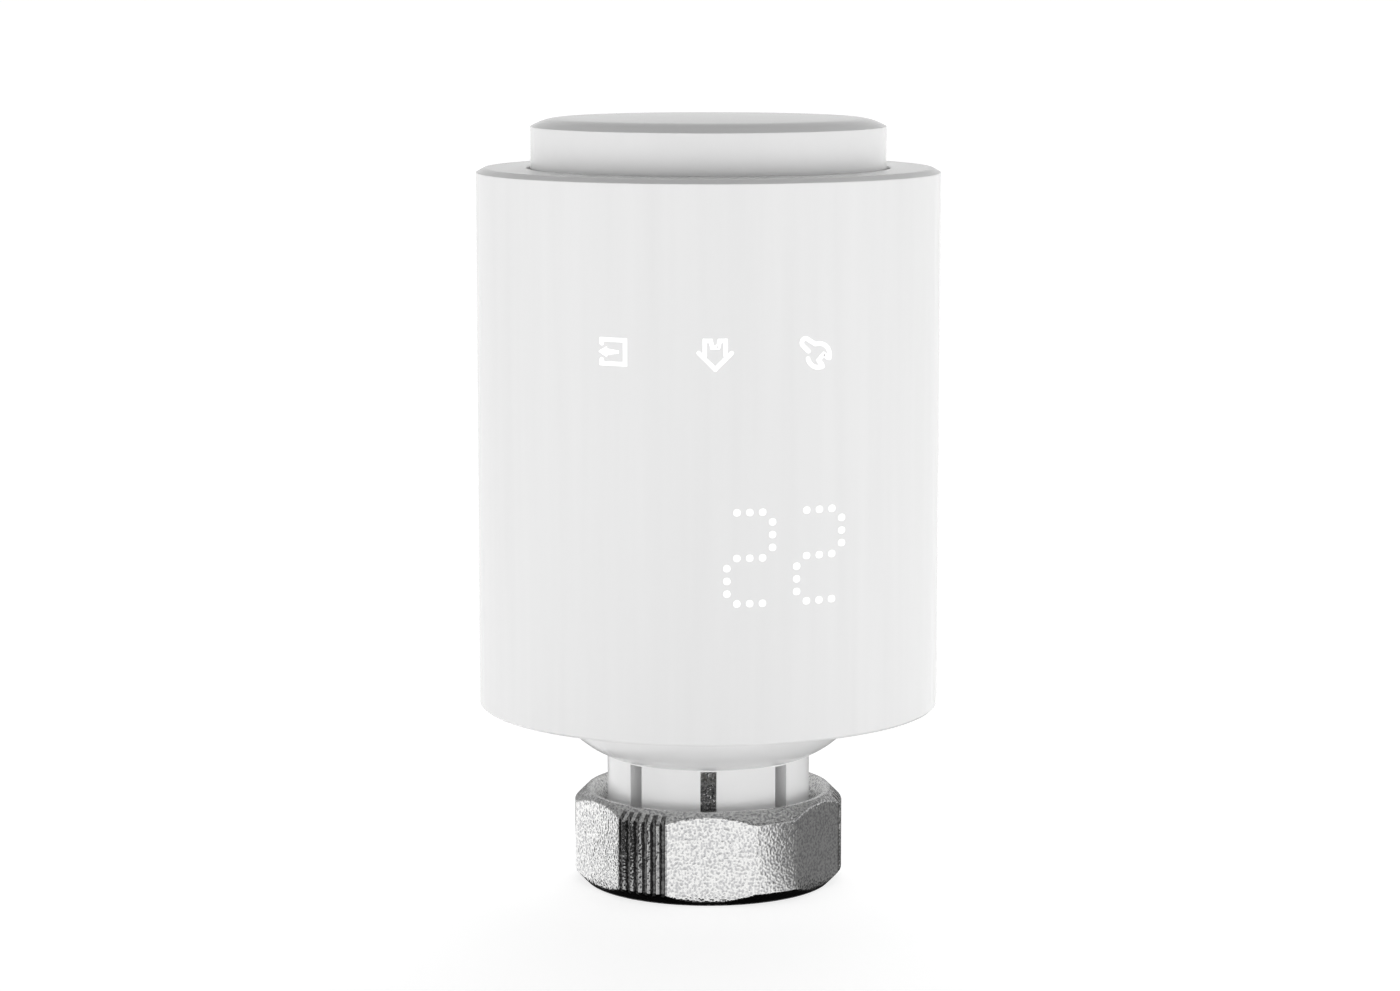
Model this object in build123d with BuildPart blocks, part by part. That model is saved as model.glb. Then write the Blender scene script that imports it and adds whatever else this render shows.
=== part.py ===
from build123d import *
import os
from math import acos, cos, pi, radians, sin, sqrt, tan

# Battery thermostat head for a radiator valve, in millimetres.
# The nut's lower face is z = 0, the knob is up +Z, and the display looks along -Y.

# Fits
run_fit = 0.05
press_fit = 0.02
seat_gap = 0.05
drop_in_gap = 0.15

# Union nut, M30 x 1.5
thread_bore_diameter = 28.38
thread_length = 6.0
nut_wall = 1.81
nut_corner_reach = 1.0
nut_chamfer = 1.5
thread_lead_in = 0.8
relief_depth = 0.3
collar_thickness = 1.4
collar_play = 0.4
mouth_depth = 2.4
mouth_flare = 1.65
ridged_corners = 3
first_ridged_corner = -120.0
grooves_per_corner = 6
groove_width = 0.65
groove_depth = 0.55
groove_step_angle = 4.1

# Snap neck and mounting base
neck_wall = 2.0
neck_length = 10.2
finger_slots = 8
slot_width = 2.0
slot_end_margin = 0.15
foot_pass_gap = 0.24
foot_clearance = 0.3
foot_thickness = 1.4
foot_lip = 1.1
foot_lead_in = 0.6
bowl_height = 6.9
bowl_reach = 7.0
bowl_sag = 1.1
base_plate_thickness = 2.0
base_plate_recess = 0.5

# Sleeve
sleeve_diameter = 58.0
sleeve_wall = 1.6
sleeve_roof = 1.8
sleeve_play = 0.4
sleeve_chamfer_width = 1.0
sleeve_chamfer_drop = 0.55
sleeve_edge_chamfer = 0.3
seat_ring_wall = 1.6
seat_ring_inset = 1.3
key_width = 2.0
key_depth = 0.7
key_clearance = 0.2
key_end_margin = 4.0

# Knob and its carrier
knob_diameter = 44.4
knob_gap = 0.5
knob_rise = 5.1
knob_wall = 1.6
knob_roof = 1.8
knob_edge_width = 3.5
knob_edge_drop = 1.05
knob_crown = 0.35
knob_travel = 0.8
knob_hooks = 3
hook_width = 9.0
hook_wall = 1.3
hook_lip = 0.8
hook_lip_height = 1.0
hook_play = 0.2
bearing_diameter = 10.0
bearing_wall = 1.8
bearing_height = 1.9
carrier_diameter = 33.6
carrier_thickness = 1.5
carrier_standoff = 3.6
leg_diameter = 2.4
leg_circle_radius = 11.0
leg_play = 0.5
barb_overhang = 0.5
barb_height = 1.0
barb_width = 1.6
leg_angles = (-90.0, 10.0, 170.0)
magnet_wall = 1.9
magnet_height = 2.0

# Boards
board_thickness = 1.2
main_board_diameter = 42.0
switch_side = 6.0
switch_height = 2.4
switch_button_diameter = 3.0
switch_button_engagement = 0.5
radio_width = 8.0
radio_length = 12.0
radio_height = 1.5
radio_corner_radius = 0.5
radio_centre_x = 0.0
radio_centre_y = 12.0
sensor_width = 2.9
sensor_depth = 1.5
sensor_height = 1.1
sensor_angles = (20.0, 65.0)
sensor_edge_margin = 1.4
header_edge_margin = 0.8
board_screw_angles = (40.0, 140.0, -62.0)
chip_side = 7.0
chip_height = 1.0
chip_centre_x = 12.0
chip_centre_y = -9.0
capacitor_diameter = 4.0
capacitor_height = 2.3
capacitor_centre_x = -5.5
capacitor_centre_y = -12.5

# Display
display_depth = 7.4
display_board_thickness = 1.0
display_side_margin = 0.4
display_height = 40.0
mask_side_margin = 0.7
film_thickness = 0.2
led_width = 0.8
led_height = 0.5
led_thickness = 0.4
well_side = 1.0
sign_well_side = 4.6
dot_pitch = 1.57
digit_half_width = 2.9
digit_half_height = 5.47
digit_arcs = (4.9, 13.7)
digit_middle_height = 45.7
sign_arcs = (-11.6, 0.75, 13.2)
sign_height = 70.0
header_pins = 6
header_pin_side = 0.6
header_pitch = 1.5
header_body_height = 2.5
header_reach = 5.0
header_slot_depth = 1.8

# Cells and contacts
cell_diameter = 14.5
cell_length = 50.5
cell_gap = 0.7
cell_button_diameter = 5.5
cell_button_height = 1.2
cell_edge_radius = 0.6
cell_wall_gap = 0.25
contact_space = 1.0
contact_thickness = 0.4
contact_width = 8.0
contact_bump_diameter = 5.0
tail_width = 2.0

# Chassis
chassis_wall = 2.0
floor_thickness = 1.2
inner_wall = 1.2
deck_thickness = 1.6
knob_room = 3.3
screw_boss_diameter = 4.8
screw_boss_overlap = 0.4
base_screw_angles = (45.0, 135.0, -90.0)
screw_boss_height = 4.8

# Screws
screw_shank_diameter = 1.9
screw_head_diameter = 3.6
screw_head_height = 1.2
screw_length = 5.0

# Gear train
gear_module = 0.5
pressure_angle = 25.0
tooth_addendum = 0.8
tooth_dedendum = 1.1
tooth_backlash = 0.08
pinion_teeth = 10
wheel_teeth = 28
drive_teeth = 44
drive_gear_width = 3.8
wheel_width = 2.8
gear_gap = 0.4
gearbox_end_gap = 0.6
second_gear_bearing = -140.0
first_gear_bearing = -27.0
motor_bearing = 42.0
axle_diameter = 1.5
axle_seat_depth = 1.2
hub_wall = 0.6
drive_hub_diameter = 10.2
drive_journal_diameter = 8.8
cover_thickness = 1.6
cover_post_diameter = 3.8
post_wall_gap = 0.6
washer_overhang = 0.3
washer_wall_gap = 0.4

# Plunger
plunger_diameter = 8.4
plunger_across_flats = 6.6
plunger_stem_diameter = 6.4
plunger_tip_height = 22.0
guide_length = 1.9
guide_wall = 1.3
bearing_boss_height = 1.8
plunger_cap_diameter = 5.0
plunger_cap_depth = 1.2
plunger_cap_proud = 0.6

# Motor
motor_diameter = 12.0
motor_across_flats = 10.0
motor_length = 19.0
motor_cap_length = 2.2
motor_nose_diameter = 4.0
motor_shaft_diameter = 1.5
motor_cradle_wall = 1.2
motor_cradle_height = 6.0
motor_lead_diameter = 1.0
motor_lead_spacing = 5.0


def polar(radius, angle):
    return (radius * cos(radians(angle)), radius * sin(radians(angle)))


def step_from(point, distance, angle):
    reach = polar(distance, angle)
    return (point[0] + reach[0], point[1] + reach[1])


def arc_radius(half_chord, sag):
    """Radius of the arc that rises by sag over a chord of twice half_chord."""
    return half_chord ** 2 / (2 * sag) + sag / 2


# Heights, from the nut's lower face upwards
foot_bottom = thread_length + foot_clearance
foot_top = foot_bottom + foot_thickness
collar_bottom = foot_top + foot_clearance
collar_top = collar_bottom + collar_thickness
nut_height = collar_top + mouth_depth
neck_top = foot_bottom + neck_length
plate_bottom = neck_top + bowl_height
plate_top = plate_bottom + base_plate_thickness
sleeve_bottom = plate_bottom - base_plate_recess
drive_bottom = plate_top + gearbox_end_gap
drive_top = drive_bottom + drive_gear_width
second_wheel_bottom = drive_top + gear_gap
second_wheel_top = second_wheel_bottom + wheel_width
first_wheel_bottom = second_wheel_top + gear_gap
first_wheel_top = first_wheel_bottom + wheel_width
cover_bottom = first_wheel_top + gearbox_end_gap
cover_top = cover_bottom + cover_thickness
floor_bottom = drive_top + gear_gap
floor_top = floor_bottom + floor_thickness
cell_bottom = floor_top + contact_space
cell_top = cell_bottom + cell_length
deck_bottom = cell_top + contact_space
deck_top = deck_bottom + deck_thickness
board_top = deck_top + board_thickness
roof_bottom = deck_top + knob_room
sleeve_top = roof_bottom + sleeve_roof
rim_height = sleeve_top + knob_rise
skirt_bottom = board_top + knob_travel + gear_gap
carrier_bottom = board_top + carrier_standoff
carrier_top = carrier_bottom + carrier_thickness
display_bottom = cover_top + drop_in_gap
display_top = display_bottom + display_height
display_board_top = deck_bottom - contact_space
display_board_height = display_board_top - display_bottom
header_bottom = display_board_top - header_reach

# Radii and distances from the axis
sleeve_radius = sleeve_diameter / 2
sleeve_inner_radius = sleeve_radius - sleeve_wall
frame_radius = sleeve_inner_radius - sleeve_play
chassis_inner_radius = frame_radius - chassis_wall
thread_radius = thread_bore_diameter / 2
nut_flat_distance = thread_radius + nut_wall
nut_outer_radius = nut_flat_distance + nut_corner_reach
foot_radius = thread_radius - foot_pass_gap
neck_radius = foot_radius - foot_lip
neck_inner_radius = neck_radius - neck_wall
bowl_radius = neck_radius + bowl_reach
collar_radius = neck_radius + collar_play
mouth_radius = collar_radius + mouth_flare
knob_radius = knob_diameter / 2
knob_hole_radius = knob_radius + knob_gap
knob_inner_radius = knob_radius - knob_wall
seat_ring_radius = knob_hole_radius + seat_ring_inset
bay_wall_back = sqrt((chassis_inner_radius - cell_diameter / 2 - cell_wall_gap) ** 2
                     - ((cell_diameter + cell_gap) / 2) ** 2) - cell_diameter / 2 - cell_wall_gap
bay_wall_front = bay_wall_back - inner_wall
screw_boss_radius = chassis_inner_radius + screw_boss_overlap - screw_boss_diameter / 2
cell_centre_x = (cell_diameter + cell_gap) / 2
cell_centre_y = bay_wall_back + cell_wall_gap + cell_diameter / 2
display_face_distance = frame_radius - display_depth
display_back_distance = display_face_distance - display_board_thickness
front_wall_distance = display_back_distance - seat_gap
display_half_width = sqrt((frame_radius - display_side_margin) ** 2 - display_face_distance ** 2)
mask_half_width = display_half_width - mask_side_margin
mask_width = 2 * mask_half_width

os.makedirs("parts", exist_ok=True)


# Union nut: a turned ring with six flats, a threaded bore, and a collar that hangs on the neck's foot.
nut_face_radius = nut_outer_radius - nut_chamfer
corner_angles = [first_ridged_corner + corner * 360 / ridged_corners for corner in range(ridged_corners)]
middle_groove = (grooves_per_corner - 1) / 2
groove_angles = [
    corner_angle + (index - middle_groove) * groove_step_angle
    for corner_angle in corner_angles
    for index in range(grooves_per_corner)
]
groove_floor_radius = nut_outer_radius - groove_depth + groove_width / 2
groove_centres = [polar(groove_floor_radius, angle) for angle in groove_angles]

with BuildPart() as union_nut:
    with BuildSketch(Plane.XZ):
        with BuildLine():
            Polyline(
                (thread_radius + thread_lead_in, 0),
                (nut_face_radius, 0),
                (nut_outer_radius, nut_chamfer),
                (nut_outer_radius, nut_height - nut_chamfer),
                (nut_face_radius, nut_height),
                (mouth_radius, nut_height),
                (collar_radius, collar_top),
                (collar_radius, collar_bottom),
                (thread_radius + relief_depth, collar_bottom),
                (thread_radius + relief_depth, thread_length),
                (thread_radius, thread_length),
                (thread_radius, thread_lead_in),
                close=True,
            )
        make_face()
    revolve(axis=Axis.Z)
    with BuildSketch():
        Circle(nut_outer_radius * 2)
        RegularPolygon(nut_flat_distance, 6, major_radius=False, mode=Mode.SUBTRACT)
    extrude(amount=nut_height, mode=Mode.SUBTRACT)
    with BuildSketch():
        with Locations(*groove_centres):
            Circle(groove_width / 2)
        for angle in groove_angles:
            with Locations(Location((0, 0, 0), (0, 0, angle))):
                with Locations((nut_outer_radius + groove_width / 2, 0)):
                    Rectangle(2 * groove_depth, groove_width)
    extrude(amount=nut_height, mode=Mode.SUBTRACT)


# Mounting base: bowl, plate and snap neck in one moulding, with the plunger's guide and the gearbox posts.
guide_radius = plunger_diameter / 2 + run_fit
guide_outer_radius = guide_radius + guide_wall
second_gear_centre = polar(gear_module * (pinion_teeth + drive_teeth) / 2, second_gear_bearing)
wheel_distance = gear_module * (pinion_teeth + wheel_teeth) / 2
first_gear_centre = step_from(second_gear_centre, wheel_distance, first_gear_bearing)
motor_centre = step_from(first_gear_centre, wheel_distance, motor_bearing)
axle_centres = [second_gear_centre, first_gear_centre]
post_margin = post_wall_gap + cover_post_diameter / 2
post_circle_radius = chassis_inner_radius - post_margin
side_post_y = bay_wall_front - post_margin
side_post_x = sqrt(post_circle_radius ** 2 - side_post_y ** 2)
front_post_y = inner_wall + post_margin - front_wall_distance
front_post_x = sqrt(post_circle_radius ** 2 - front_post_y ** 2)
cover_post_centres = [(-side_post_x, side_post_y), (side_post_x, side_post_y), (front_post_x, front_post_y)]
base_screw_centres = [polar(screw_boss_radius, angle) for angle in base_screw_angles]
screw_hole_radius = screw_shank_diameter / 2 + press_fit
screw_head_radius = screw_head_diameter / 2 + drop_in_gap

bowl_arc_radius = arc_radius(sqrt(bowl_height ** 2 + bowl_reach ** 2) / 2, bowl_sag)

with BuildPart() as mounting_base:
    with BuildSketch(Plane.XZ):
        with BuildLine():
            Polyline(
                (0, plate_bottom - guide_length),
                (guide_outer_radius, plate_bottom - guide_length),
                (guide_outer_radius, plate_bottom),
                (bowl_radius - neck_wall, plate_bottom),
            )
            RadiusArc(
                (bowl_radius - neck_wall, plate_bottom),
                (neck_radius, neck_top + neck_wall),
                bowl_arc_radius - neck_wall,
            )
            Polyline(
                (neck_radius, neck_top + neck_wall),
                (neck_inner_radius, neck_top + neck_wall),
                (neck_inner_radius, foot_bottom),
                (foot_radius - foot_lead_in, foot_bottom),
                (foot_radius, foot_bottom + foot_lead_in),
                (foot_radius, foot_top),
                (neck_radius, foot_top),
                (neck_radius, neck_top),
            )
            RadiusArc(
                (neck_radius, neck_top),
                (bowl_radius, plate_bottom),
                -bowl_arc_radius,
            )
            Polyline(
                (bowl_radius, plate_bottom),
                (frame_radius, plate_bottom),
                (frame_radius, plate_top),
                (guide_outer_radius, plate_top),
                (guide_outer_radius, plate_top + bearing_boss_height),
                (0, plate_top + bearing_boss_height),
                (0, plate_bottom - guide_length),
            )
        make_face()
    revolve(axis=Axis.Z)
    with BuildSketch(Plane.XY.offset(foot_bottom)):
        with PolarLocations((neck_radius + neck_inner_radius) / 2, finger_slots):
            Rectangle(2 * neck_wall + 2 * foot_lip, slot_width)
    extrude(amount=neck_length - slot_end_margin, mode=Mode.SUBTRACT)
    with BuildSketch(Plane.XY.offset(plate_bottom - guide_length)):
        Circle(guide_radius)
        Rectangle(plunger_across_flats + 2 * run_fit, plunger_diameter * 2, mode=Mode.INTERSECT)
    extrude(amount=guide_length + base_plate_thickness + bearing_boss_height, mode=Mode.SUBTRACT)
    with BuildSketch(Plane.XY.offset(plate_top)):
        with Locations(*cover_post_centres):
            Circle(cover_post_diameter / 2)
    extrude(amount=cover_bottom - plate_top)
    with BuildSketch(Plane.XY.offset(cover_top - screw_length)):
        with Locations(*cover_post_centres):
            Circle(screw_hole_radius)
    extrude(amount=screw_length, mode=Mode.SUBTRACT)
    with BuildSketch(Plane.XY.offset(plate_top - axle_seat_depth)):
        with Locations(*axle_centres):
            Circle(axle_diameter / 2 + press_fit)
    extrude(amount=axle_seat_depth, mode=Mode.SUBTRACT)
    with Locations(*[Location((x, y, plate_bottom), (180, 0, 0)) for x, y in base_screw_centres]):
        CounterBoreHole(screw_hole_radius, screw_head_radius, screw_head_height, base_plate_thickness)


# Chassis: a slotted tube on the base plate, open at the rear for the cells and at the front for the display.
leg_centres = [polar(leg_circle_radius, angle) for angle in leg_angles]
leg_hole_radius = leg_diameter / 2 + leg_play
front_wall_height = deck_bottom - cover_top - seat_gap
header_centre_y = -(display_back_distance - header_pin_side)
header_slot_width = header_pins * header_pitch + 2 * drop_in_gap
header_notch_depth = deck_bottom - header_bottom + drop_in_gap
tail_centre_y = bay_wall_back + contact_width / 2
motor_lead_centres = [(motor_centre[0] - motor_lead_spacing / 2, motor_centre[1]),
                      (motor_centre[0] + motor_lead_spacing / 2, motor_centre[1])]
mask_screw_x = mask_half_width - screw_head_diameter - mask_side_margin
mask_screw_spots = [(side * mask_screw_x, height) for side in (-1, 1)
                    for height in (display_bottom + display_height / 2, display_top - screw_head_diameter)]
board_screw_radius = main_board_diameter / 2 - screw_head_diameter
board_screw_centres = [polar(board_screw_radius, angle) for angle in board_screw_angles]

with BuildPart() as chassis:
    with BuildSketch(Plane.XY.offset(plate_top)):
        Circle(frame_radius)
        Circle(chassis_inner_radius, mode=Mode.SUBTRACT)
    extrude(amount=deck_bottom - plate_top)
    with BuildSketch(Plane.XY.offset(floor_top)):
        with Locations((0, bay_wall_back)):
            Rectangle(sleeve_diameter, sleeve_radius, align=(Align.CENTER, Align.MIN))
    extrude(amount=deck_bottom - floor_top, mode=Mode.SUBTRACT)
    with BuildSketch(Plane.XY.offset(display_bottom - seat_gap)):
        with Locations((0, -front_wall_distance)):
            Rectangle(sleeve_diameter, sleeve_radius, align=(Align.CENTER, Align.MAX))
    extrude(amount=deck_bottom - display_bottom + seat_gap, mode=Mode.SUBTRACT)
    with BuildSketch(Plane.XY.offset(floor_bottom)):
        Circle(frame_radius)
        with Locations((0, bay_wall_front)):
            Rectangle(sleeve_diameter, sleeve_radius, align=(Align.CENTER, Align.MIN), mode=Mode.INTERSECT)
    extrude(amount=floor_thickness)
    with BuildSketch(Plane.XY.offset(floor_bottom)):
        Circle(frame_radius)
        with Locations((0, bay_wall_front)):
            Rectangle(sleeve_diameter, inner_wall, align=(Align.CENTER, Align.MIN), mode=Mode.INTERSECT)
    extrude(amount=deck_bottom - floor_bottom)
    with BuildSketch(Plane.XY.offset(floor_bottom)):
        Circle(drive_hub_diameter / 2 + washer_overhang + washer_wall_gap)
    extrude(amount=cover_bottom - floor_bottom, mode=Mode.SUBTRACT)
    with BuildSketch(Plane.XY.offset(cover_top + seat_gap)):
        Circle(frame_radius)
        with Locations((0, -front_wall_distance)):
            Rectangle(sleeve_diameter, inner_wall, align=(Align.CENTER, Align.MIN), mode=Mode.INTERSECT)
    extrude(amount=front_wall_height)
    with BuildSketch(Plane.XY.offset(deck_bottom)):
        Circle(frame_radius)
        with Locations(*leg_centres):
            Circle(leg_hole_radius, mode=Mode.SUBTRACT)
        with Locations((0, header_centre_y)):
            Rectangle(header_slot_width, header_slot_depth, mode=Mode.SUBTRACT)
        with Locations((-cell_centre_x, tail_centre_y), (cell_centre_x, tail_centre_y)):
            Rectangle(tail_width + 2 * drop_in_gap, contact_thickness + 2 * drop_in_gap, mode=Mode.SUBTRACT)
        with Locations(*motor_lead_centres):
            Circle(motor_lead_diameter / 2 + drop_in_gap, mode=Mode.SUBTRACT)
        with Locations(*board_screw_centres):
            Circle(screw_hole_radius, mode=Mode.SUBTRACT)
    extrude(amount=deck_thickness)
    with BuildSketch(Plane.XY.offset(plate_top)):
        with Locations(*base_screw_centres):
            Circle(screw_boss_diameter / 2)
    extrude(amount=screw_boss_height)
    with BuildSketch(Plane.XY.offset(plate_top)):
        with Locations(*base_screw_centres):
            Circle(screw_hole_radius)
    extrude(amount=screw_boss_height - floor_thickness, mode=Mode.SUBTRACT)
    with BuildSketch(Plane.XY.offset(floor_top)):
        with Locations((-frame_radius, 0), (frame_radius, 0)):
            Rectangle(2 * (key_depth + key_clearance), key_width + 2 * key_clearance)
    extrude(amount=deck_top - floor_top, mode=Mode.SUBTRACT)
    with BuildSketch(Plane.XZ.offset(front_wall_distance - inner_wall)):
        with Locations(*mask_screw_spots):
            Circle(screw_hole_radius)
        with Locations((0, deck_bottom)):
            Rectangle(header_slot_width, header_notch_depth, align=(Align.CENTER, Align.MAX))
    extrude(amount=inner_wall, mode=Mode.SUBTRACT)


# Outer sleeve: a plain tube with a flat roof ring round the knob; two keys hold it from turning.
with BuildPart() as outer_sleeve:
    with BuildSketch(Plane.XZ):
        with BuildLine():
            Polyline(
                (sleeve_inner_radius, sleeve_bottom),
                (sleeve_radius - sleeve_edge_chamfer, sleeve_bottom),
                (sleeve_radius, sleeve_bottom + sleeve_edge_chamfer),
                (sleeve_radius, sleeve_top - sleeve_chamfer_drop),
                (sleeve_radius - sleeve_chamfer_width, sleeve_top),
                (knob_hole_radius, sleeve_top),
                (knob_hole_radius, roof_bottom),
                (sleeve_inner_radius, roof_bottom),
                close=True,
            )
        make_face()
    revolve(axis=Axis.Z)
    with BuildSketch(Plane.XY.offset(deck_top)):
        Circle(seat_ring_radius + seat_ring_wall)
        Circle(seat_ring_radius, mode=Mode.SUBTRACT)
    extrude(amount=roof_bottom - deck_top)
    with BuildSketch(Plane.XY.offset(cover_top + key_end_margin)):
        Circle(sleeve_inner_radius + sleeve_wall / 2)
        Circle(frame_radius - key_depth, mode=Mode.SUBTRACT)
        Rectangle(sleeve_diameter, key_width, mode=Mode.INTERSECT)
    extrude(amount=deck_bottom - cover_top - 2 * key_end_margin)


# Knob carrier: a disc with a bearing stub for the knob and three barbed legs through the deck.
barb_top = deck_bottom - seat_gap

with BuildPart() as knob_carrier:
    with BuildSketch(Plane.XY.offset(carrier_bottom)):
        Circle(carrier_diameter / 2)
    extrude(amount=carrier_thickness)
    with BuildSketch(Plane.XY.offset(carrier_top)):
        Circle(bearing_diameter / 2)
    extrude(amount=bearing_height)
    with BuildSketch(Plane.XY.offset(barb_top)):
        with Locations(*leg_centres):
            Circle(leg_diameter / 2)
    extrude(amount=carrier_bottom - barb_top)
    for angle in leg_angles:
        with BuildSketch(Plane.XY.offset(barb_top)):
            with Locations(Location((*polar(leg_circle_radius, angle), 0), (0, 0, angle))):
                Rectangle(2 * (leg_hole_radius + barb_overhang), barb_width)
        extrude(amount=-barb_height)


# Knob: a crowned cap with a thin skirt, a central bearing and three hooks under the carrier's rim.
hook_root = rim_height + knob_edge_drop - knob_roof / 2
hook_inner_radius = carrier_diameter / 2 + hook_play
lip_top = carrier_bottom - seat_gap

with BuildPart() as knob:
    with BuildSketch(Plane.XZ):
        with BuildLine():
            crown = RadiusArc(
                (0, rim_height + knob_edge_drop + knob_crown),
                (knob_radius - knob_edge_width, rim_height + knob_edge_drop),
                arc_radius(knob_radius - knob_edge_width, knob_crown),
            )
            edge = TangentArc(crown @ 1, (knob_radius, rim_height), tangent=crown % 1)
            Polyline(
                edge @ 1,
                (knob_radius, skirt_bottom),
                (knob_inner_radius, skirt_bottom),
                (knob_inner_radius, rim_height - knob_roof),
                (knob_radius - knob_edge_width, rim_height + knob_edge_drop - knob_roof),
                (0, rim_height + knob_edge_drop + knob_crown - knob_roof),
                (0, rim_height + knob_edge_drop + knob_crown),
            )
        make_face()
    revolve(axis=Axis.Z)
    with BuildSketch(Plane.XY.offset(carrier_top + seat_gap)):
        Circle(bearing_diameter / 2 + bearing_wall)
        Circle(bearing_diameter / 2 + run_fit, mode=Mode.SUBTRACT)
    extrude(amount=hook_root - carrier_top - seat_gap)
    with BuildSketch(Plane.XY.offset(lip_top)):
        Circle(hook_inner_radius + hook_wall)
        Circle(hook_inner_radius, mode=Mode.SUBTRACT)
        with PolarLocations(hook_inner_radius, knob_hooks):
            Rectangle(2 * (hook_wall + hook_lip), hook_width, mode=Mode.INTERSECT)
    extrude(amount=hook_root - lip_top)
    with BuildSketch(Plane.XY.offset(lip_top)):
        Circle(hook_inner_radius + hook_wall)
        Circle(hook_inner_radius - hook_lip, mode=Mode.SUBTRACT)
        with PolarLocations(hook_inner_radius, knob_hooks):
            Rectangle(2 * (hook_wall + hook_lip), hook_width, mode=Mode.INTERSECT)
    extrude(amount=-hook_lip_height)


# Magnet ring, bonded inside the knob's skirt for the turn sensors.
magnet_bottom = lip_top - hook_lip_height
magnet_outer_radius = knob_inner_radius - seat_gap

with BuildPart() as magnet_ring:
    with BuildSketch(Plane.XY.offset(magnet_bottom)):
        Circle(magnet_outer_radius)
        Circle(magnet_outer_radius - magnet_wall, mode=Mode.SUBTRACT)
    extrude(amount=magnet_height)


# Push switch on the main board; its button rides with the carrier.
button_bottom = board_top + switch_height - switch_button_engagement
button_well_bottom = button_bottom - knob_travel - seat_gap

with BuildPart() as push_switch:
    with BuildSketch(Plane.XY.offset(board_top)):
        Rectangle(switch_side, switch_side)
    extrude(amount=switch_height)
    with BuildSketch(Plane.XY.offset(button_well_bottom)):
        Circle(switch_button_diameter / 2 + run_fit)
    extrude(amount=switch_height, mode=Mode.SUBTRACT)

with BuildPart() as switch_button:
    with BuildSketch(Plane.XY.offset(button_bottom)):
        Circle(switch_button_diameter / 2)
    extrude(amount=carrier_bottom - button_bottom)


# Main board: a round board on the deck, with the radio, the turn sensors and the larger parts.
sensor_circle_radius = main_board_diameter / 2 - sensor_edge_margin
header_hole_depth = header_pin_side + 2 * drop_in_gap
header_lug_depth = header_hole_depth + 2 * header_edge_margin

with BuildPart() as main_board:
    with BuildSketch(Plane.XY.offset(deck_top)):
        Circle(main_board_diameter / 2)
        with Locations((0, header_centre_y)):
            Rectangle(header_slot_width + 2 * header_edge_margin, header_lug_depth)
        with Locations(*leg_centres):
            Circle(leg_hole_radius, mode=Mode.SUBTRACT)
        with Locations((0, header_centre_y)):
            Rectangle(header_slot_width, header_hole_depth, mode=Mode.SUBTRACT)
        with Locations((-cell_centre_x, tail_centre_y), (cell_centre_x, tail_centre_y)):
            Rectangle(tail_width + 2 * drop_in_gap, contact_thickness + 2 * drop_in_gap, mode=Mode.SUBTRACT)
        with Locations(*motor_lead_centres):
            Circle(motor_lead_diameter / 2 + drop_in_gap, mode=Mode.SUBTRACT)
        with Locations(*board_screw_centres):
            Circle(screw_hole_radius, mode=Mode.SUBTRACT)
    extrude(amount=board_thickness)

with BuildPart() as radio_module:
    with BuildSketch(Plane.XY.offset(board_top)):
        with Locations((radio_centre_x, radio_centre_y)):
            RectangleRounded(radio_width, radio_length, radio_corner_radius)
    extrude(amount=radio_height)

with BuildPart() as hall_sensors:
    with BuildSketch(Plane.XY.offset(board_top)):
        for angle in sensor_angles:
            with Locations(Location((*polar(sensor_circle_radius, angle), 0), (0, 0, angle))):
                Rectangle(sensor_depth, sensor_width)
    extrude(amount=sensor_height)

with BuildPart() as board_parts:
    with BuildSketch(Plane.XY.offset(board_top)):
        with Locations((chip_centre_x, chip_centre_y)):
            Rectangle(chip_side, chip_side)
    extrude(amount=chip_height)
    with BuildSketch(Plane.XY.offset(board_top)):
        with Locations((capacitor_centre_x, capacitor_centre_y)):
            Circle(capacitor_diameter / 2)
    extrude(amount=capacitor_height)

with BuildPart() as board_screws:
    with BuildSketch(Plane.XY.offset(board_top)):
        with Locations(*board_screw_centres):
            Circle(screw_head_diameter / 2)
    extrude(amount=screw_head_height)
    with BuildSketch(Plane.XY.offset(board_top)):
        with Locations(*board_screw_centres):
            Circle(screw_shank_diameter / 2)
    extrude(amount=-(board_thickness + deck_thickness))


# Display: a flat board of small lights behind a moulded mask, with a diffusing film on its curved face.
dot_spots = []
for digit_arc in digit_arcs:
    for row in (-1, 0, 1):
        for column in (-1, 0, 1):
            dot_spots.append((digit_arc + column * dot_pitch, digit_middle_height + row * digit_half_height))
    for half in (-1, 1):
        for side in (-1, 1):
            for step in (-1, 0, 1):
                rise = half * digit_half_height / 2 + step * dot_pitch
                dot_spots.append((digit_arc + side * digit_half_width, digit_middle_height + rise))
light_spots = [(sleeve_radius * sin(arc / sleeve_radius), height) for arc, height in dot_spots]
sign_spots = [(sleeve_radius * sin(arc / sleeve_radius), sign_height) for arc in sign_arcs]
mask_radius = frame_radius - film_thickness - press_fit

with BuildPart() as display_board:
    with BuildSketch(Plane.XZ.offset(display_back_distance)):
        with Locations((0, display_bottom)):
            Rectangle(2 * display_half_width, display_board_height, align=(Align.CENTER, Align.MIN))
        with Locations(*mask_screw_spots):
            Circle(screw_hole_radius, mode=Mode.SUBTRACT)
    extrude(amount=display_board_thickness)

with BuildPart() as display_leds:
    with BuildSketch(Plane.XZ.offset(display_face_distance)):
        with Locations(*light_spots, *sign_spots):
            Rectangle(led_width, led_height)
    extrude(amount=led_thickness)

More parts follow.
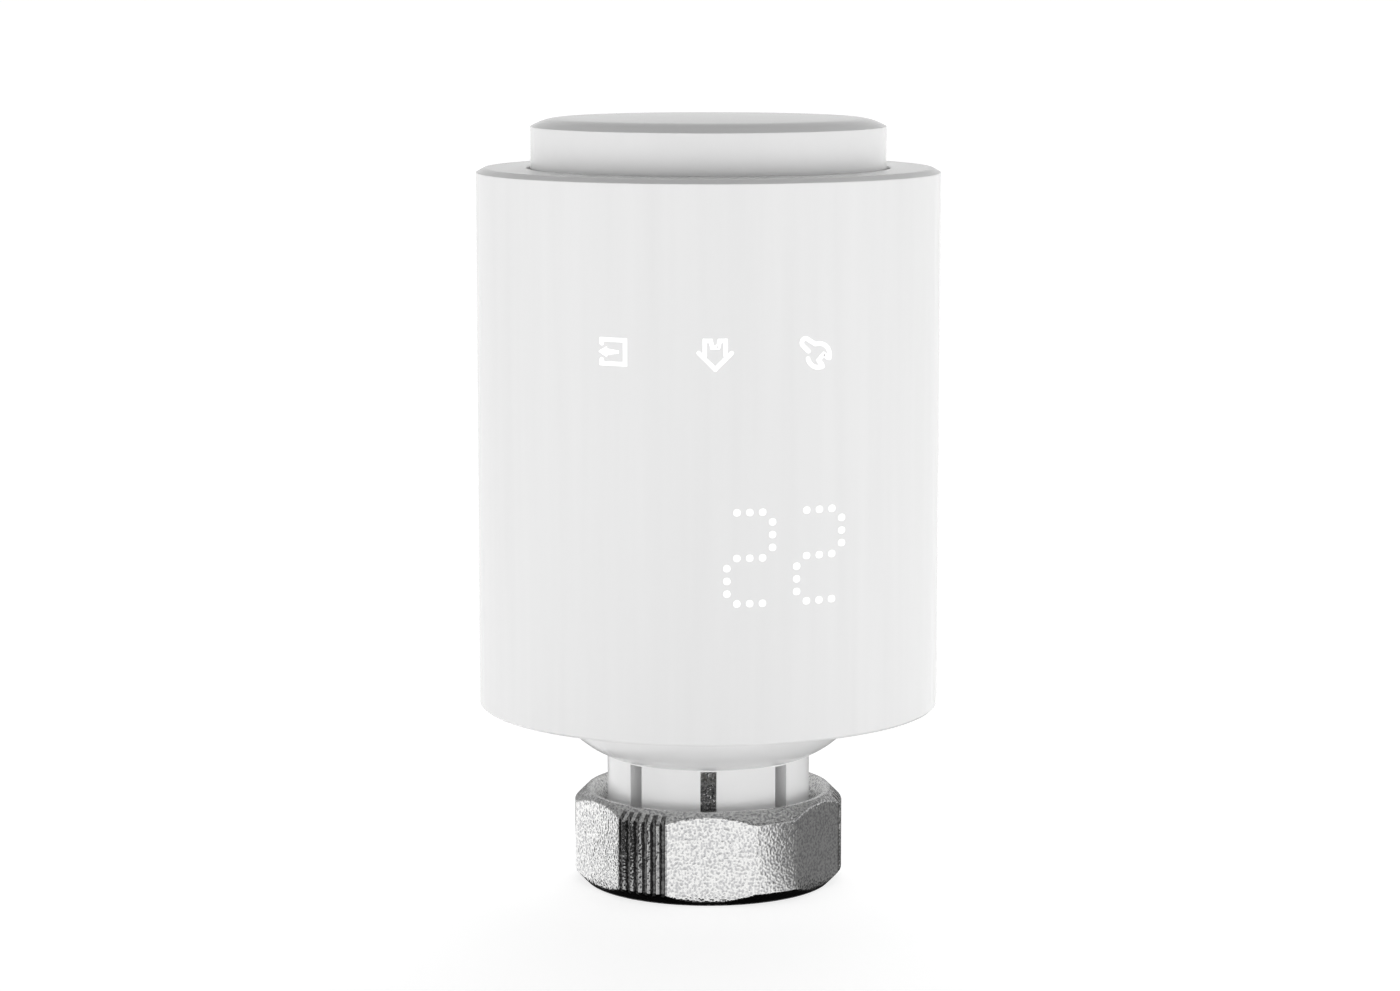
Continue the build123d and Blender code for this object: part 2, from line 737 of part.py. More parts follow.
with BuildPart() as light_mask:
    with BuildSketch(Plane.XY.offset(display_bottom)):
        Circle(mask_radius)
        with Locations((0, -display_face_distance)):
            Rectangle(mask_width, sleeve_radius, align=(Align.CENTER, Align.MAX), mode=Mode.INTERSECT)
    extrude(amount=display_height)
    with BuildSketch(Plane.XZ.offset(display_face_distance)):
        with Locations(*light_spots):
            Rectangle(well_side, well_side)
        with Locations(*sign_spots):
            Rectangle(sign_well_side, sign_well_side)
        with Locations(*mask_screw_spots):
            Circle(screw_hole_radius)
    extrude(amount=sleeve_radius, mode=Mode.SUBTRACT)
    with BuildSketch(Plane.XZ.offset(display_face_distance + screw_head_height)):
        with Locations(*mask_screw_spots):
            Circle(screw_head_radius)
    extrude(amount=sleeve_radius, mode=Mode.SUBTRACT)

with BuildPart() as diffuser_film:
    with BuildSketch(Plane.XY.offset(display_bottom)):
        Circle(frame_radius)
        Circle(frame_radius - film_thickness, mode=Mode.SUBTRACT)
        with Locations((0, -display_face_distance)):
            Rectangle(mask_width, sleeve_radius, align=(Align.CENTER, Align.MAX), mode=Mode.INTERSECT)
    extrude(amount=display_height)

with BuildPart() as mask_screws:
    with BuildSketch(Plane.XZ.offset(display_face_distance + screw_head_height)):
        with Locations(*mask_screw_spots):
            Circle(screw_head_diameter / 2)
    extrude(amount=screw_head_height)
    with BuildSketch(Plane.XZ.offset(front_wall_distance - inner_wall)):
        with Locations(*mask_screw_spots):
            Circle(screw_shank_diameter / 2)
    extrude(amount=display_face_distance + screw_head_height - front_wall_distance + inner_wall)

# Pin header that joins the display board to the main board.
middle_pin = (header_pins - 1) / 2
header_spots = [((index - middle_pin) * header_pitch, header_centre_y) for index in range(header_pins)]

with BuildPart() as board_header:
    with BuildSketch(Plane.XY.offset(header_bottom)):
        with Locations((0, -display_back_distance)):
            Rectangle(header_pins * header_pitch, 2 * header_pin_side, align=(Align.CENTER, Align.MIN))
    extrude(amount=header_body_height)
    with BuildSketch(Plane.XY.offset(header_bottom)):
        with Locations(*header_spots):
            Rectangle(header_pin_side, header_pin_side)
    extrude(amount=board_top + header_pin_side - header_bottom)


# Cells: two AA cells side by side, one button up and one button down.
def cell_profile(button_end, flat_end):
    """Half outline of a cell from its flat end to its button, as radius and height."""
    way = 1 if button_end > flat_end else -1
    shoulder = button_end - way * cell_button_height
    body_radius = cell_diameter / 2
    return [
        (0, flat_end),
        (body_radius - cell_edge_radius, flat_end),
        (body_radius, flat_end + way * cell_edge_radius),
        (body_radius, shoulder - way * cell_edge_radius),
        (body_radius - cell_edge_radius, shoulder),
        (cell_button_diameter / 2, shoulder),
        (cell_button_diameter / 2, button_end),
        (0, button_end),
    ]


with BuildPart() as battery_left:
    with BuildSketch(Plane((-cell_centre_x, cell_centre_y, 0), x_dir=(1, 0, 0), z_dir=(0, -1, 0))):
        with BuildLine():
            Polyline(*cell_profile(cell_top, cell_bottom), close=True)
        make_face()
    revolve(axis=Axis((-cell_centre_x, cell_centre_y, 0), (0, 0, 1)))

with BuildPart() as battery_right:
    with BuildSketch(Plane((cell_centre_x, cell_centre_y, 0), x_dir=(1, 0, 0), z_dir=(0, -1, 0))):
        with BuildLine():
            Polyline(*cell_profile(cell_bottom, cell_top), close=True)
        make_face()
    revolve(axis=Axis((cell_centre_x, cell_centre_y, 0), (0, 0, 1)))

# Battery contacts: a bridge on the bay's floor, two sprung terminals under the deck with tails to the board.
cell_spots = [(-cell_centre_x, cell_centre_y), (cell_centre_x, cell_centre_y)]

with BuildPart() as battery_bridge:
    with BuildSketch(Plane.XY.offset(floor_top)):
        with Locations((0, cell_centre_y)):
            SlotCenterToCenter(2 * cell_centre_x, contact_width)
    extrude(amount=contact_thickness)
    with BuildSketch(Plane.XY.offset(floor_top + contact_thickness)):
        with Locations(*cell_spots):
            Circle(contact_bump_diameter / 2)
    extrude(amount=contact_space - contact_thickness - seat_gap)

with BuildPart() as battery_terminals:
    with BuildSketch(Plane.XY.offset(deck_bottom)):
        with Locations(*cell_spots):
            Circle(contact_width / 2)
        with Locations(*[(x, tail_centre_y - contact_thickness / 2) for x, y in cell_spots]):
            Rectangle(tail_width, cell_centre_y - tail_centre_y, align=(Align.CENTER, Align.MIN))
    extrude(amount=-contact_thickness)
    with BuildSketch(Plane.XY.offset(deck_bottom - contact_thickness)):
        with Locations(*cell_spots):
            Circle(contact_bump_diameter / 2)
    extrude(amount=-(contact_space - contact_thickness - seat_gap))
    with BuildSketch(Plane.XY.offset(deck_bottom - contact_thickness)):
        with Locations(*[(x, tail_centre_y) for x, y in cell_spots]):
            Rectangle(tail_width, contact_thickness)
    extrude(amount=board_top + contact_thickness - deck_bottom + contact_thickness)


# Gear train. A tooth is cut from root, base and tip radius, with straight runs between the points.
def tooth_points(teeth, first_tooth_angle):
    """Outline of an involute spur gear about the origin, one tooth centred on first_tooth_angle."""
    pitch_radius = gear_module * teeth / 2
    base_radius = pitch_radius * cos(radians(pressure_angle))
    root_radius = pitch_radius - tooth_dedendum * gear_module
    tip_radius = pitch_radius + tooth_addendum * gear_module
    pitch_half = (pi * gear_module / 2 - tooth_backlash) / 2 / pitch_radius
    roll_at_pitch = tan(radians(pressure_angle)) - radians(pressure_angle)

    def half_angle(radius):
        lean = acos(min(1.0, base_radius / radius))
        return pitch_half + roll_at_pitch - (tan(lean) - lean)

    flank = [(root_radius, half_angle(root_radius))]
    if base_radius > root_radius:
        flank.append((base_radius, half_angle(base_radius)))
    flank.append((tip_radius, half_angle(tip_radius)))
    points = []
    for tooth in range(teeth):
        middle = radians(first_tooth_angle) + 2 * pi * tooth / teeth
        points += [(r * cos(middle - a), r * sin(middle - a)) for r, a in flank]
        points += [(r * cos(middle + a), r * sin(middle + a)) for r, a in reversed(flank)]
    return points


def facing_gap(teeth, bearing):
    """Tooth angle that turns a gap towards a mate whose own tooth points along bearing."""
    return bearing + 180 + 180 / teeth


hub_radius = axle_diameter / 2 + hub_wall
axle_hole_radius = axle_diameter / 2 + run_fit
second_gear_plane = Plane.XY.shift_origin((*second_gear_centre, 0))
first_gear_plane = Plane.XY.shift_origin((*first_gear_centre, 0))
motor_plane = Plane.XY.shift_origin((*motor_centre, 0))
hub_bottom = plate_top + seat_gap
hub_top = cover_bottom - seat_gap
bore_step = drive_top + gearbox_end_gap
drive_hub_top = cover_bottom - gearbox_end_gap - seat_gap
journal_top = cover_top - drop_in_gap

# Drive gear: runs on the guide's boss and in the cover, and its hub is the nut of the lead screw.
with BuildPart() as drive_gear:
    with BuildSketch(Plane.XY.offset(drive_bottom)):
        with BuildLine():
            Polyline(*tooth_points(drive_teeth, second_gear_bearing), close=True)
        make_face()
        Circle(guide_outer_radius + run_fit, mode=Mode.SUBTRACT)
    extrude(amount=drive_gear_width)
    with BuildSketch(Plane.XZ):
        with BuildLine():
            Polyline(
                (guide_outer_radius + run_fit, plate_top + bearing_boss_height + drop_in_gap),
                (guide_outer_radius + run_fit, drive_top),
                (drive_hub_diameter / 2, drive_top),
                (drive_hub_diameter / 2, drive_hub_top),
                (drive_journal_diameter / 2, drive_hub_top),
                (drive_journal_diameter / 2, journal_top),
                (plunger_stem_diameter / 2 + run_fit, journal_top),
                (plunger_stem_diameter / 2 + run_fit, bore_step),
                (plunger_diameter / 2 + drop_in_gap, bore_step),
                (plunger_diameter / 2 + drop_in_gap, plate_top + bearing_boss_height + drop_in_gap),
                close=True,
            )
        make_face()
    revolve(axis=Axis.Z)

with BuildPart() as thrust_washer:
    with BuildSketch(Plane.XY.offset(drive_hub_top + seat_gap)):
        Circle(drive_hub_diameter / 2 + washer_overhang)
        Circle(drive_journal_diameter / 2 + run_fit, mode=Mode.SUBTRACT)
    extrude(amount=cover_bottom - drive_hub_top - seat_gap)

# Second gear: its pinion turns the drive gear, its wheel is turned by the first gear.
with BuildPart() as second_gear:
    with BuildSketch(second_gear_plane.offset(hub_bottom)):
        Circle(hub_radius)
    extrude(amount=hub_top - hub_bottom)
    with BuildSketch(second_gear_plane.offset(drive_bottom)):
        with BuildLine():
            Polyline(*tooth_points(pinion_teeth, facing_gap(pinion_teeth, second_gear_bearing)), close=True)
        make_face()
    extrude(amount=second_wheel_bottom - drive_bottom)
    with BuildSketch(second_gear_plane.offset(second_wheel_bottom)):
        with BuildLine():
            Polyline(*tooth_points(wheel_teeth, first_gear_bearing), close=True)
        make_face()
    extrude(amount=wheel_width)
    with BuildSketch(second_gear_plane.offset(hub_bottom)):
        Circle(axle_hole_radius)
    extrude(amount=hub_top - hub_bottom, mode=Mode.SUBTRACT)

# First gear: its wheel is turned by the motor's pinion.
with BuildPart() as first_gear:
    with BuildSketch(first_gear_plane.offset(hub_bottom)):
        Circle(hub_radius)
    extrude(amount=hub_top - hub_bottom)
    with BuildSketch(first_gear_plane.offset(second_wheel_bottom)):
        with BuildLine():
            Polyline(*tooth_points(pinion_teeth, facing_gap(pinion_teeth, first_gear_bearing)), close=True)
        make_face()
    extrude(amount=first_wheel_bottom - second_wheel_bottom)
    with BuildSketch(first_gear_plane.offset(first_wheel_bottom)):
        with BuildLine():
            Polyline(*tooth_points(wheel_teeth, motor_bearing), close=True)
        make_face()
    extrude(amount=wheel_width)
    with BuildSketch(first_gear_plane.offset(hub_bottom)):
        Circle(axle_hole_radius)
    extrude(amount=hub_top - hub_bottom, mode=Mode.SUBTRACT)

with BuildPart() as gear_axles:
    with BuildSketch(Plane.XY.offset(plate_top - axle_seat_depth)):
        with Locations(*axle_centres):
            Circle(axle_diameter / 2)
    extrude(amount=journal_top - plate_top + axle_seat_depth)

# Motor: a flat-sided can on the cover, its nose in the cover and its pinion below it.
motor_bottom = cover_top + seat_gap
motor_top = motor_bottom + motor_length
shaft_top = motor_bottom + motor_nose_diameter
nose_bottom = cover_bottom + seat_gap

with BuildPart() as motor_pinion:
    with BuildSketch(motor_plane.offset(first_wheel_bottom)):
        with BuildLine():
            Polyline(*tooth_points(pinion_teeth, facing_gap(pinion_teeth, motor_bearing)), close=True)
        make_face()
        Circle(motor_shaft_diameter / 2 + press_fit, mode=Mode.SUBTRACT)
    extrude(amount=wheel_width)

with BuildPart() as motor_shaft:
    with BuildSketch(motor_plane.offset(first_wheel_bottom)):
        Circle(motor_shaft_diameter / 2)
    extrude(amount=shaft_top - first_wheel_bottom)

with BuildPart() as motor_can:
    with BuildSketch(motor_plane.offset(motor_bottom)):
        Circle(motor_diameter / 2)
        Rectangle(motor_diameter, motor_across_flats, mode=Mode.INTERSECT)
    extrude(amount=motor_length)
    with BuildSketch(motor_plane.offset(nose_bottom)):
        Circle(motor_nose_diameter / 2)
    extrude(amount=motor_bottom - nose_bottom)
    with BuildSketch(motor_plane.offset(nose_bottom)):
        Circle(motor_shaft_diameter / 2 + run_fit)
    extrude(amount=shaft_top + seat_gap - nose_bottom, mode=Mode.SUBTRACT)

with BuildPart() as motor_end_cap:
    with BuildSketch(motor_plane.offset(motor_top)):
        Circle(motor_diameter / 2 - motor_shaft_diameter / 2)
        Rectangle(motor_diameter, motor_across_flats - motor_shaft_diameter, mode=Mode.INTERSECT)
    extrude(amount=motor_cap_length)

with BuildPart() as motor_leads:
    with BuildSketch(Plane.XY.offset(motor_top + motor_cap_length)):
        with Locations(*motor_lead_centres):
            Circle(motor_lead_diameter / 2)
    extrude(amount=board_top + contact_thickness - motor_top - motor_cap_length)

# Gearbox cover: carries the axles' upper ends, the drive gear's journal and the motor's cradle.
with BuildPart() as gearbox_cover:
    with BuildSketch(Plane.XY.offset(cover_bottom)):
        Circle(chassis_inner_radius - drop_in_gap)
        with Locations((0, bay_wall_front - drop_in_gap)):
            Rectangle(sleeve_diameter, sleeve_diameter, align=(Align.CENTER, Align.MAX), mode=Mode.INTERSECT)
    extrude(amount=cover_thickness)
    with BuildSketch(motor_plane.offset(cover_top)):
        Circle(motor_diameter / 2 + drop_in_gap + motor_cradle_wall)
    extrude(amount=motor_cradle_height)
    with BuildSketch(motor_plane.offset(cover_top)):
        Circle(motor_diameter / 2 + drop_in_gap)
    extrude(amount=motor_cradle_height, mode=Mode.SUBTRACT)
    with BuildSketch(Plane.XY.offset(cover_bottom)):
        Circle(drive_journal_diameter / 2 + run_fit)
        with Locations(motor_centre):
            Circle(motor_nose_diameter / 2 + run_fit)
        with Locations(*axle_centres):
            Circle(axle_diameter / 2 + press_fit)
        with Locations(*cover_post_centres):
            Circle(screw_hole_radius)
    extrude(amount=cover_thickness, mode=Mode.SUBTRACT)

with BuildPart() as gearbox_screws:
    with BuildSketch(Plane.XY.offset(cover_top)):
        with Locations(*cover_post_centres):
            Circle(screw_head_diameter / 2)
    extrude(amount=screw_head_height)
    with BuildSketch(Plane.XY.offset(cover_top)):
        with Locations(*cover_post_centres):
            Circle(screw_shank_diameter / 2)
    extrude(amount=-(screw_length - seat_gap))

with BuildPart() as base_screws:
    with BuildSketch(Plane.XY.offset(plate_bottom)):
        with Locations(*base_screw_centres):
            Circle(screw_head_diameter / 2)
    extrude(amount=screw_head_height)
    with BuildSketch(Plane.XY.offset(plate_bottom)):
        with Locations(*base_screw_centres):
            Circle(screw_shank_diameter / 2)
    extrude(amount=screw_length)

# Plunger: a flatted foot that slides in the base's guide, and a threaded stem in the drive gear's hub.
shoulder_height = bore_step - seat_gap

with BuildPart() as plunger:
    with BuildSketch(Plane.XY.offset(plunger_tip_height)):
        Circle(plunger_diameter / 2)
        Rectangle(plunger_across_flats, plunger_diameter * 2, mode=Mode.INTERSECT)
    extrude(amount=shoulder_height - plunger_tip_height)
    with BuildSketch(Plane.XY.offset(shoulder_height)):
        Circle(plunger_stem_diameter / 2)
    extrude(amount=journal_top - shoulder_height)
    with BuildSketch(Plane.XY.offset(plunger_tip_height)):
        Circle(plunger_cap_diameter / 2 + press_fit)
    extrude(amount=plunger_cap_depth, mode=Mode.SUBTRACT)

with BuildPart() as plunger_cap:
    with BuildSketch(Plane.XY.offset(plunger_tip_height - plunger_cap_proud)):
        Circle(plunger_cap_diameter / 2)
    extrude(amount=plunger_cap_depth + plunger_cap_proud)


pieces = {
    "union_nut": union_nut,
    "mounting_base": mounting_base,
    "chassis": chassis,
    "outer_sleeve": outer_sleeve,
    "knob_carrier": knob_carrier,
    "knob": knob,
    "magnet_ring": magnet_ring,
    "push_switch": push_switch,
    "switch_button": switch_button,
    "main_board": main_board,
    "radio_module": radio_module,
    "hall_sensors": hall_sensors,
    "board_parts": board_parts,
    "board_screws": board_screws,
    "display_board": display_board,
    "display_leds": display_leds,
    "light_mask": light_mask,
    "diffuser_film": diffuser_film,
    "mask_screws": mask_screws,
    "board_header": board_header,
    "battery_left": battery_left,
    "battery_right": battery_right,
    "battery_bridge": battery_bridge,
    "battery_terminals": battery_terminals,
    "drive_gear": drive_gear,
    "thrust_washer": thrust_washer,
    "second_gear": second_gear,
    "first_gear": first_gear,
    "gear_axles": gear_axles,
    "motor_pinion": motor_pinion,
    "motor_shaft": motor_shaft,
    "motor_can": motor_can,
    "motor_end_cap": motor_end_cap,
    "motor_leads": motor_leads,
    "gearbox_cover": gearbox_cover,
    "gearbox_screws": gearbox_screws,
    "base_screws": base_screws,
    "plunger": plunger,
    "plunger_cap": plunger_cap,
}
for name, piece in pieces.items():
    piece.part.label = name
    export_step(piece.part, f"parts/{name}.step")
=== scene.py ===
from math import radians

import bmesh
import bpy
import numpy as np
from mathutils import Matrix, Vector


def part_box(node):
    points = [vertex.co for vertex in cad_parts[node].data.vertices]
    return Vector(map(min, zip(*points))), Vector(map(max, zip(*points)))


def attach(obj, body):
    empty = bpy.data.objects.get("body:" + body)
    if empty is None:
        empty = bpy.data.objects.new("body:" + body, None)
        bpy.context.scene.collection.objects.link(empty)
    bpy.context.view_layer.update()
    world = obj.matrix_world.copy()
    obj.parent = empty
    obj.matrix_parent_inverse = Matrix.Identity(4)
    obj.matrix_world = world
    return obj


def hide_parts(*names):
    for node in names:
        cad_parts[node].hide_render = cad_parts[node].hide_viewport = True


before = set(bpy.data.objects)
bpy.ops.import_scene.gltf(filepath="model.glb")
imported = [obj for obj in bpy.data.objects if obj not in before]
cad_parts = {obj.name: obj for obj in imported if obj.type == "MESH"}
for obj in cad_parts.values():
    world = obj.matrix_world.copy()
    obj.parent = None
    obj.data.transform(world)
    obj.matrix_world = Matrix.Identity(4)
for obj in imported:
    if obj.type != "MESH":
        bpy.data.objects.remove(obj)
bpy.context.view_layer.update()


# Mounting base. One white moulding holds the bowl, the plate and the slotted snap neck.
# It is injection moulded with a fine eroded grain, and three screws fix it under the chassis.
mm = 0.001
shell_white = (0.83, 0.83, 0.83)
base_roughness = 0.22
cloud_scale = 420
grain_scale = 5200
grain_depth = 0.02 * mm
gloss_share = 0.15


def add(tree, kind, sockets=None, **settings):
    """A shader node with its settings and input sockets; an output given as a value is linked."""
    made = tree.nodes.new("ShaderNode" + kind)
    for name, value in settings.items():
        setattr(made, name, value)
    for name, value in (sockets or {}).items():
        if isinstance(value, bpy.types.NodeSocket):
            tree.links.new(value, made.inputs[name])
        else:
            made.inputs[name].default_value = value
    return made


def new_finish(name):
    """An empty finish: its node tree, its shader and the piece's own coordinates in metres."""
    finish = bpy.data.materials.new(name)
    finish.use_nodes = True
    tree = finish.node_tree
    shader = tree.nodes["Principled BSDF"]
    place = add(tree, "TexCoord").outputs["Object"]
    return finish, tree, shader, place


def give(tree, shader, sockets):
    """Links each value to the shader's socket of that name."""
    for name, value in sockets.items():
        tree.links.new(value, shader.inputs[name])


def noise(tree, place, scale, detail=2):
    """A noise from 0 to 1 over the piece, with its scale in patches per metre."""
    return add(tree, "TexNoise", {"Vector": place, "Scale": scale, "Detail": detail}).outputs["Fac"]


def ranged(tree, value, low, high, start=0.0, end=1.0):
    """A value that runs straight from low to high as the given one goes from start to end."""
    sockets = {"Value": value, "From Min": start, "From Max": end, "To Min": low, "To Max": high}
    return add(tree, "MapRange", sockets).outputs["Result"]


def drift(tree, factor, dark, light):
    """Colour that runs from dark to light as factor goes from 0 to 1."""
    mix = add(tree, "Mix", {"Factor": factor}, data_type="RGBA")
    mix.inputs["A"].default_value = (*dark, 1)
    mix.inputs["B"].default_value = (*light, 1)
    return mix.outputs["Result"]


def bumped(tree, height, strength, depth):
    """Normal of a surface that height raises by up to depth, weakened to a share by strength."""
    sockets = {"Height": height, "Strength": strength, "Distance": depth}
    return add(tree, "Bump", sockets).outputs["Normal"]


def moulded_plastic(name, colour, roughness, spread=0.012, streak=1.0, grain=0.02):
    """Moulded plastic: a broad noise, stretched upright by streak, drifts the colour by spread;
    a fine noise makes the eroded grain as bump and as a little unevenness of the gloss."""
    finish, tree, shader, place = new_finish(name)
    stretch = {"Vector": place, "Scale": (1, 1, 1 / streak)}
    clouds = noise(tree, add(tree, "Mapping", stretch).outputs["Vector"], cloud_scale, 4)
    eroded = noise(tree, place, grain_scale)
    dark = [c * (1 - spread) for c in colour]
    light = [min(1, c * (1 + spread)) for c in colour]
    give(tree, shader, {
        "Base Color": drift(tree, clouds, dark, light),
        "Roughness": ranged(tree, eroded, roughness * (1 - gloss_share), roughness * (1 + gloss_share)),
        "Normal": bumped(tree, eroded, grain, grain_depth),
    })
    return finish


def dress(finish, *nodes):
    """Gives CAD pieces their finish in every material slot and leaves their meshes alone."""
    for node in nodes:
        for material_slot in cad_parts[node].material_slots:
            material_slot.material = finish


base_white = moulded_plastic("base_white", shell_white, base_roughness, grain=0.01)
dress(base_white, "mounting_base")


# Union nut. Nickel-plated brass, turned with six flats milled on it and blasted to a speckled grey.
# Every second corner keeps the turned round with six grooves; a collar hangs it on the neck's foot.
nut_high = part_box("union_nut")[1]
nut_top = nut_high.z
turned_radius = nut_high.x
flat_distance = nut_high.y
nut_chamfer = 1.5 * mm
edge_softness = 0.035 * mm
thread_bore = 14.19 * mm
thread_pitch = 1.5 * mm
thread_depth = 0.81 * mm
thread_start = 0.8 * mm
thread_end = 6.0 * mm
thread_fade = 0.4 * mm
tooth_slope = 1.35
tooth_flat = 0.2
relief_radius = 14.49 * mm
relief_step = 0.1 * mm
relief_end = 0.02 * mm
collar_radius = 13.25 * mm
collar_low = 8.0 * mm
collar_high = 9.4 * mm
collar_edge = 0.1 * mm
mouth_radius = 14.9 * mm
mouth_edge = 0.08 * mm
groove_floor = 16.45 * mm
groove_half_width = 0.325 * mm
groove_step = radians(4.1)
outer_groove = 2.5
ridged_corners = np.radians([-120.0, 0.0, 120.0])
weld_distance = 1e-7
nut_columns = 1200
chamfer_rows = np.linspace(0, 1.15 * nut_chamfer, 13)
side_rows = nut_top * np.array([0.3, 0.5, 0.7])
thread_rows = np.linspace(thread_end, thread_start, 43)[:, None]
nickel_dark = (0.58, 0.58, 0.59)
nickel_light = (0.94, 0.94, 0.93)
speck_scale = 3200
speck_range = (0.30, 0.60)
pit_depth = 0.11 * mm
plating_scale = 160
plating_gloss = (0.16, 0.26)
# Painted shade, as factors on the plating's colour: near black on the lower chamfer, darker in the
# grooves, on the ridges, on the upper end and in the bore.
chamfer_painted_shade = 0.03
groove_painted_shade = 0.16
ridge_painted_shade = 0.50
end_painted_shade = 0.64
bore_painted_shade = 0.90
fine_margin = 0.05 * mm
wide_margin = 0.1 * mm
bore_margin = 0.12 * mm


def piece_from_grids(name, grids, finish, body, sharp=32):
    """One piece from point grids of shape (rows, columns, 3). Each row joins round; the first and last
    rows meet or shrink to a point. Points that coincide are welded, faces turn outwards and edges over
    the sharp angle stay crisp."""
    points = np.concatenate([grid.reshape(-1, 3) for grid in grids])
    quads = []
    start = 0
    for grid in grids:
        rows, columns = grid.shape[:2]
        index = start + np.arange(rows * columns).reshape(rows, columns)
        below, above = index[:-1], index[1:]
        corners = [below, np.roll(below, -1, axis=1), np.roll(above, -1, axis=1), above]
        quads.append(np.stack(corners, axis=-1).reshape(-1, 4))
        start += rows * columns
    quads = np.concatenate(quads)
    mesh = bpy.data.meshes.new(name)
    mesh.vertices.add(len(points))
    mesh.vertices.foreach_set("co", points.astype(np.float32).ravel())
    mesh.loops.add(quads.size)
    mesh.loops.foreach_set("vertex_index", quads.astype(np.int32).ravel())
    mesh.polygons.add(len(quads))
    mesh.polygons.foreach_set("loop_start", np.arange(0, quads.size, 4, dtype=np.int32))
    mesh.update(calc_edges=True)
    weld = bmesh.new()
    weld.from_mesh(mesh)
    bmesh.ops.remove_doubles(weld, verts=weld.verts, dist=weld_distance)
    bmesh.ops.recalc_face_normals(weld, faces=weld.faces)
    weld.to_mesh(mesh)
    weld.free()
    mesh.polygons.foreach_set("use_smooth", np.ones(len(mesh.polygons), dtype=bool))
    mesh.set_sharp_from_angle(angle=radians(sharp))
    mesh.materials.append(finish)
    piece = bpy.data.objects.new(name, mesh)
    bpy.context.scene.collection.objects.link(piece)
    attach(piece, body)
    return piece


def turned(angles, radius, height):
    """Points of a turned surface: radius and height, as arrays over rows and columns, at each angle."""
    radius, height, angles = np.broadcast_arrays(radius, height, angles)
    return np.stack([radius * np.cos(angles), radius * np.sin(angles), height], axis=-1)


def soft_least(first, second, softness):
    """The smaller of two radii, with the edge where they cross rounded over about softness."""
    return -softness * np.logaddexp(-first / softness, -second / softness)


def nut_flats(angles):
    """Radius of the six flats: the flat distance over the cosine of the angle from the nearest flat."""
    from_flat = angles % radians(60) - radians(30)
    return flat_distance / np.cos(from_flat)


def nut_bar(height):
    """Radius of the turned bar, which loses a chamfer at both ends."""
    ends = np.minimum(height, nut_top - height)
    return turned_radius - np.clip(nut_chamfer - ends, 0, None)


def groove_floors(angles):
    """Radius of the round-bottomed corner grooves, and far outside the nut between them."""
    floors = np.full_like(angles, 2 * turned_radius)
    for corner in ridged_corners:
        from_corner = (angles - corner + np.pi) % (2 * np.pi) - np.pi
        groove = np.round(from_corner / groove_step - 0.5) + 0.5
        nearest = np.clip(groove, -outer_groove, outer_groove) * groove_step
        across = np.abs(from_corner - nearest) * turned_radius / groove_half_width
        rise = 1 - np.sqrt(np.clip(1 - across ** 2, 0, 1))
        floors = np.where(across < 1, groove_floor + rise * groove_half_width, floors)
    return floors


def nut_outside(angles, height):
    """Radius of the nut's outside: the bar, cut back to the flats and to the grooves."""
    faced = soft_least(nut_flats(angles), nut_bar(height), edge_softness)
    return np.minimum(faced, groove_floors(angles))


def nut_painted_shade(points):
    """Painted shade on the plating, a factor on its colour: near black on the lower chamfer between the
    flats, dark in the grooves, darker on the ridges, the turned upper end and in the bore, and 1 on the
    flats, which keep their colour."""
    angles = np.arctan2(points[:, 1], points[:, 0])
    radius = np.hypot(points[:, 0], points[:, 1])
    height = points[:, 2]
    outer = radius > turned_radius - nut_chamfer - wide_margin
    off_flats = nut_bar(height) < nut_flats(angles) - fine_margin
    chamfered = outer & off_flats & (height < nut_chamfer - fine_margin)
    cut = groove_floors(angles) < turned_radius - wide_margin
    grooved = outer & cut & (radius > flat_distance)
    corner_turn = np.abs((angles + radians(60)) % radians(120) - radians(60))
    ridged = outer & (corner_turn < 3 * groove_step) & (height < nut_top - nut_chamfer)
    ended = off_flats & (height > nut_top - nut_chamfer + fine_margin)
    bored = radius < mouth_radius + bore_margin
    # The grooves, ridges, upper end and bore get painted shade, not a different plating.
    places = [chamfered, grooved, bored, ended, ridged]
    return np.select(places, [chamfer_painted_shade, groove_painted_shade, bore_painted_shade, end_painted_shade, ridge_painted_shade], 1.0)


def nut_thread(angles, height):
    """Radius of the inner thread: a 60 degree ridge wound once round per pitch, fading at both ends."""
    phase = (height / thread_pitch - angles / (2 * np.pi)) % 1
    tooth = np.clip(tooth_slope * (1 - np.abs(2 * phase - 1)) - tooth_flat, 0, 1)
    fade = np.clip(np.minimum(height - thread_start, thread_end - height) / thread_fade, 0, 1)
    return thread_bore + thread_depth * tooth * fade


def blasted_nickel(name):
    """Blasted plating: a fine noise pits the surface as bump, so that each speck mirrors another part of
    the room, and mottles the colour, which the painted shade attribute darkens; a broad noise varies the
    gloss."""
    finish, tree, shader, place = new_finish(name)
    specks = noise(tree, place, speck_scale, 0)
    mottled = ranged(tree, specks, 0, 1, *speck_range)
    shade = add(tree, "Mix", {"Factor": 1.0}, data_type="RGBA", blend_type="MULTIPLY")
    tree.links.new(drift(tree, mottled, nickel_dark, nickel_light), shade.inputs["A"])
    tree.links.new(add(tree, "Attribute", attribute_name="painted_shade").outputs["Fac"], shade.inputs["B"])
    give(tree, shader, {
        "Base Color": shade.outputs["Result"],
        "Roughness": ranged(tree, noise(tree, place, plating_scale, 3), *plating_gloss),
        "Normal": bumped(tree, specks, 1.0, pit_depth),
    })
    shader.inputs["Metallic"].default_value = 1.0
    return finish


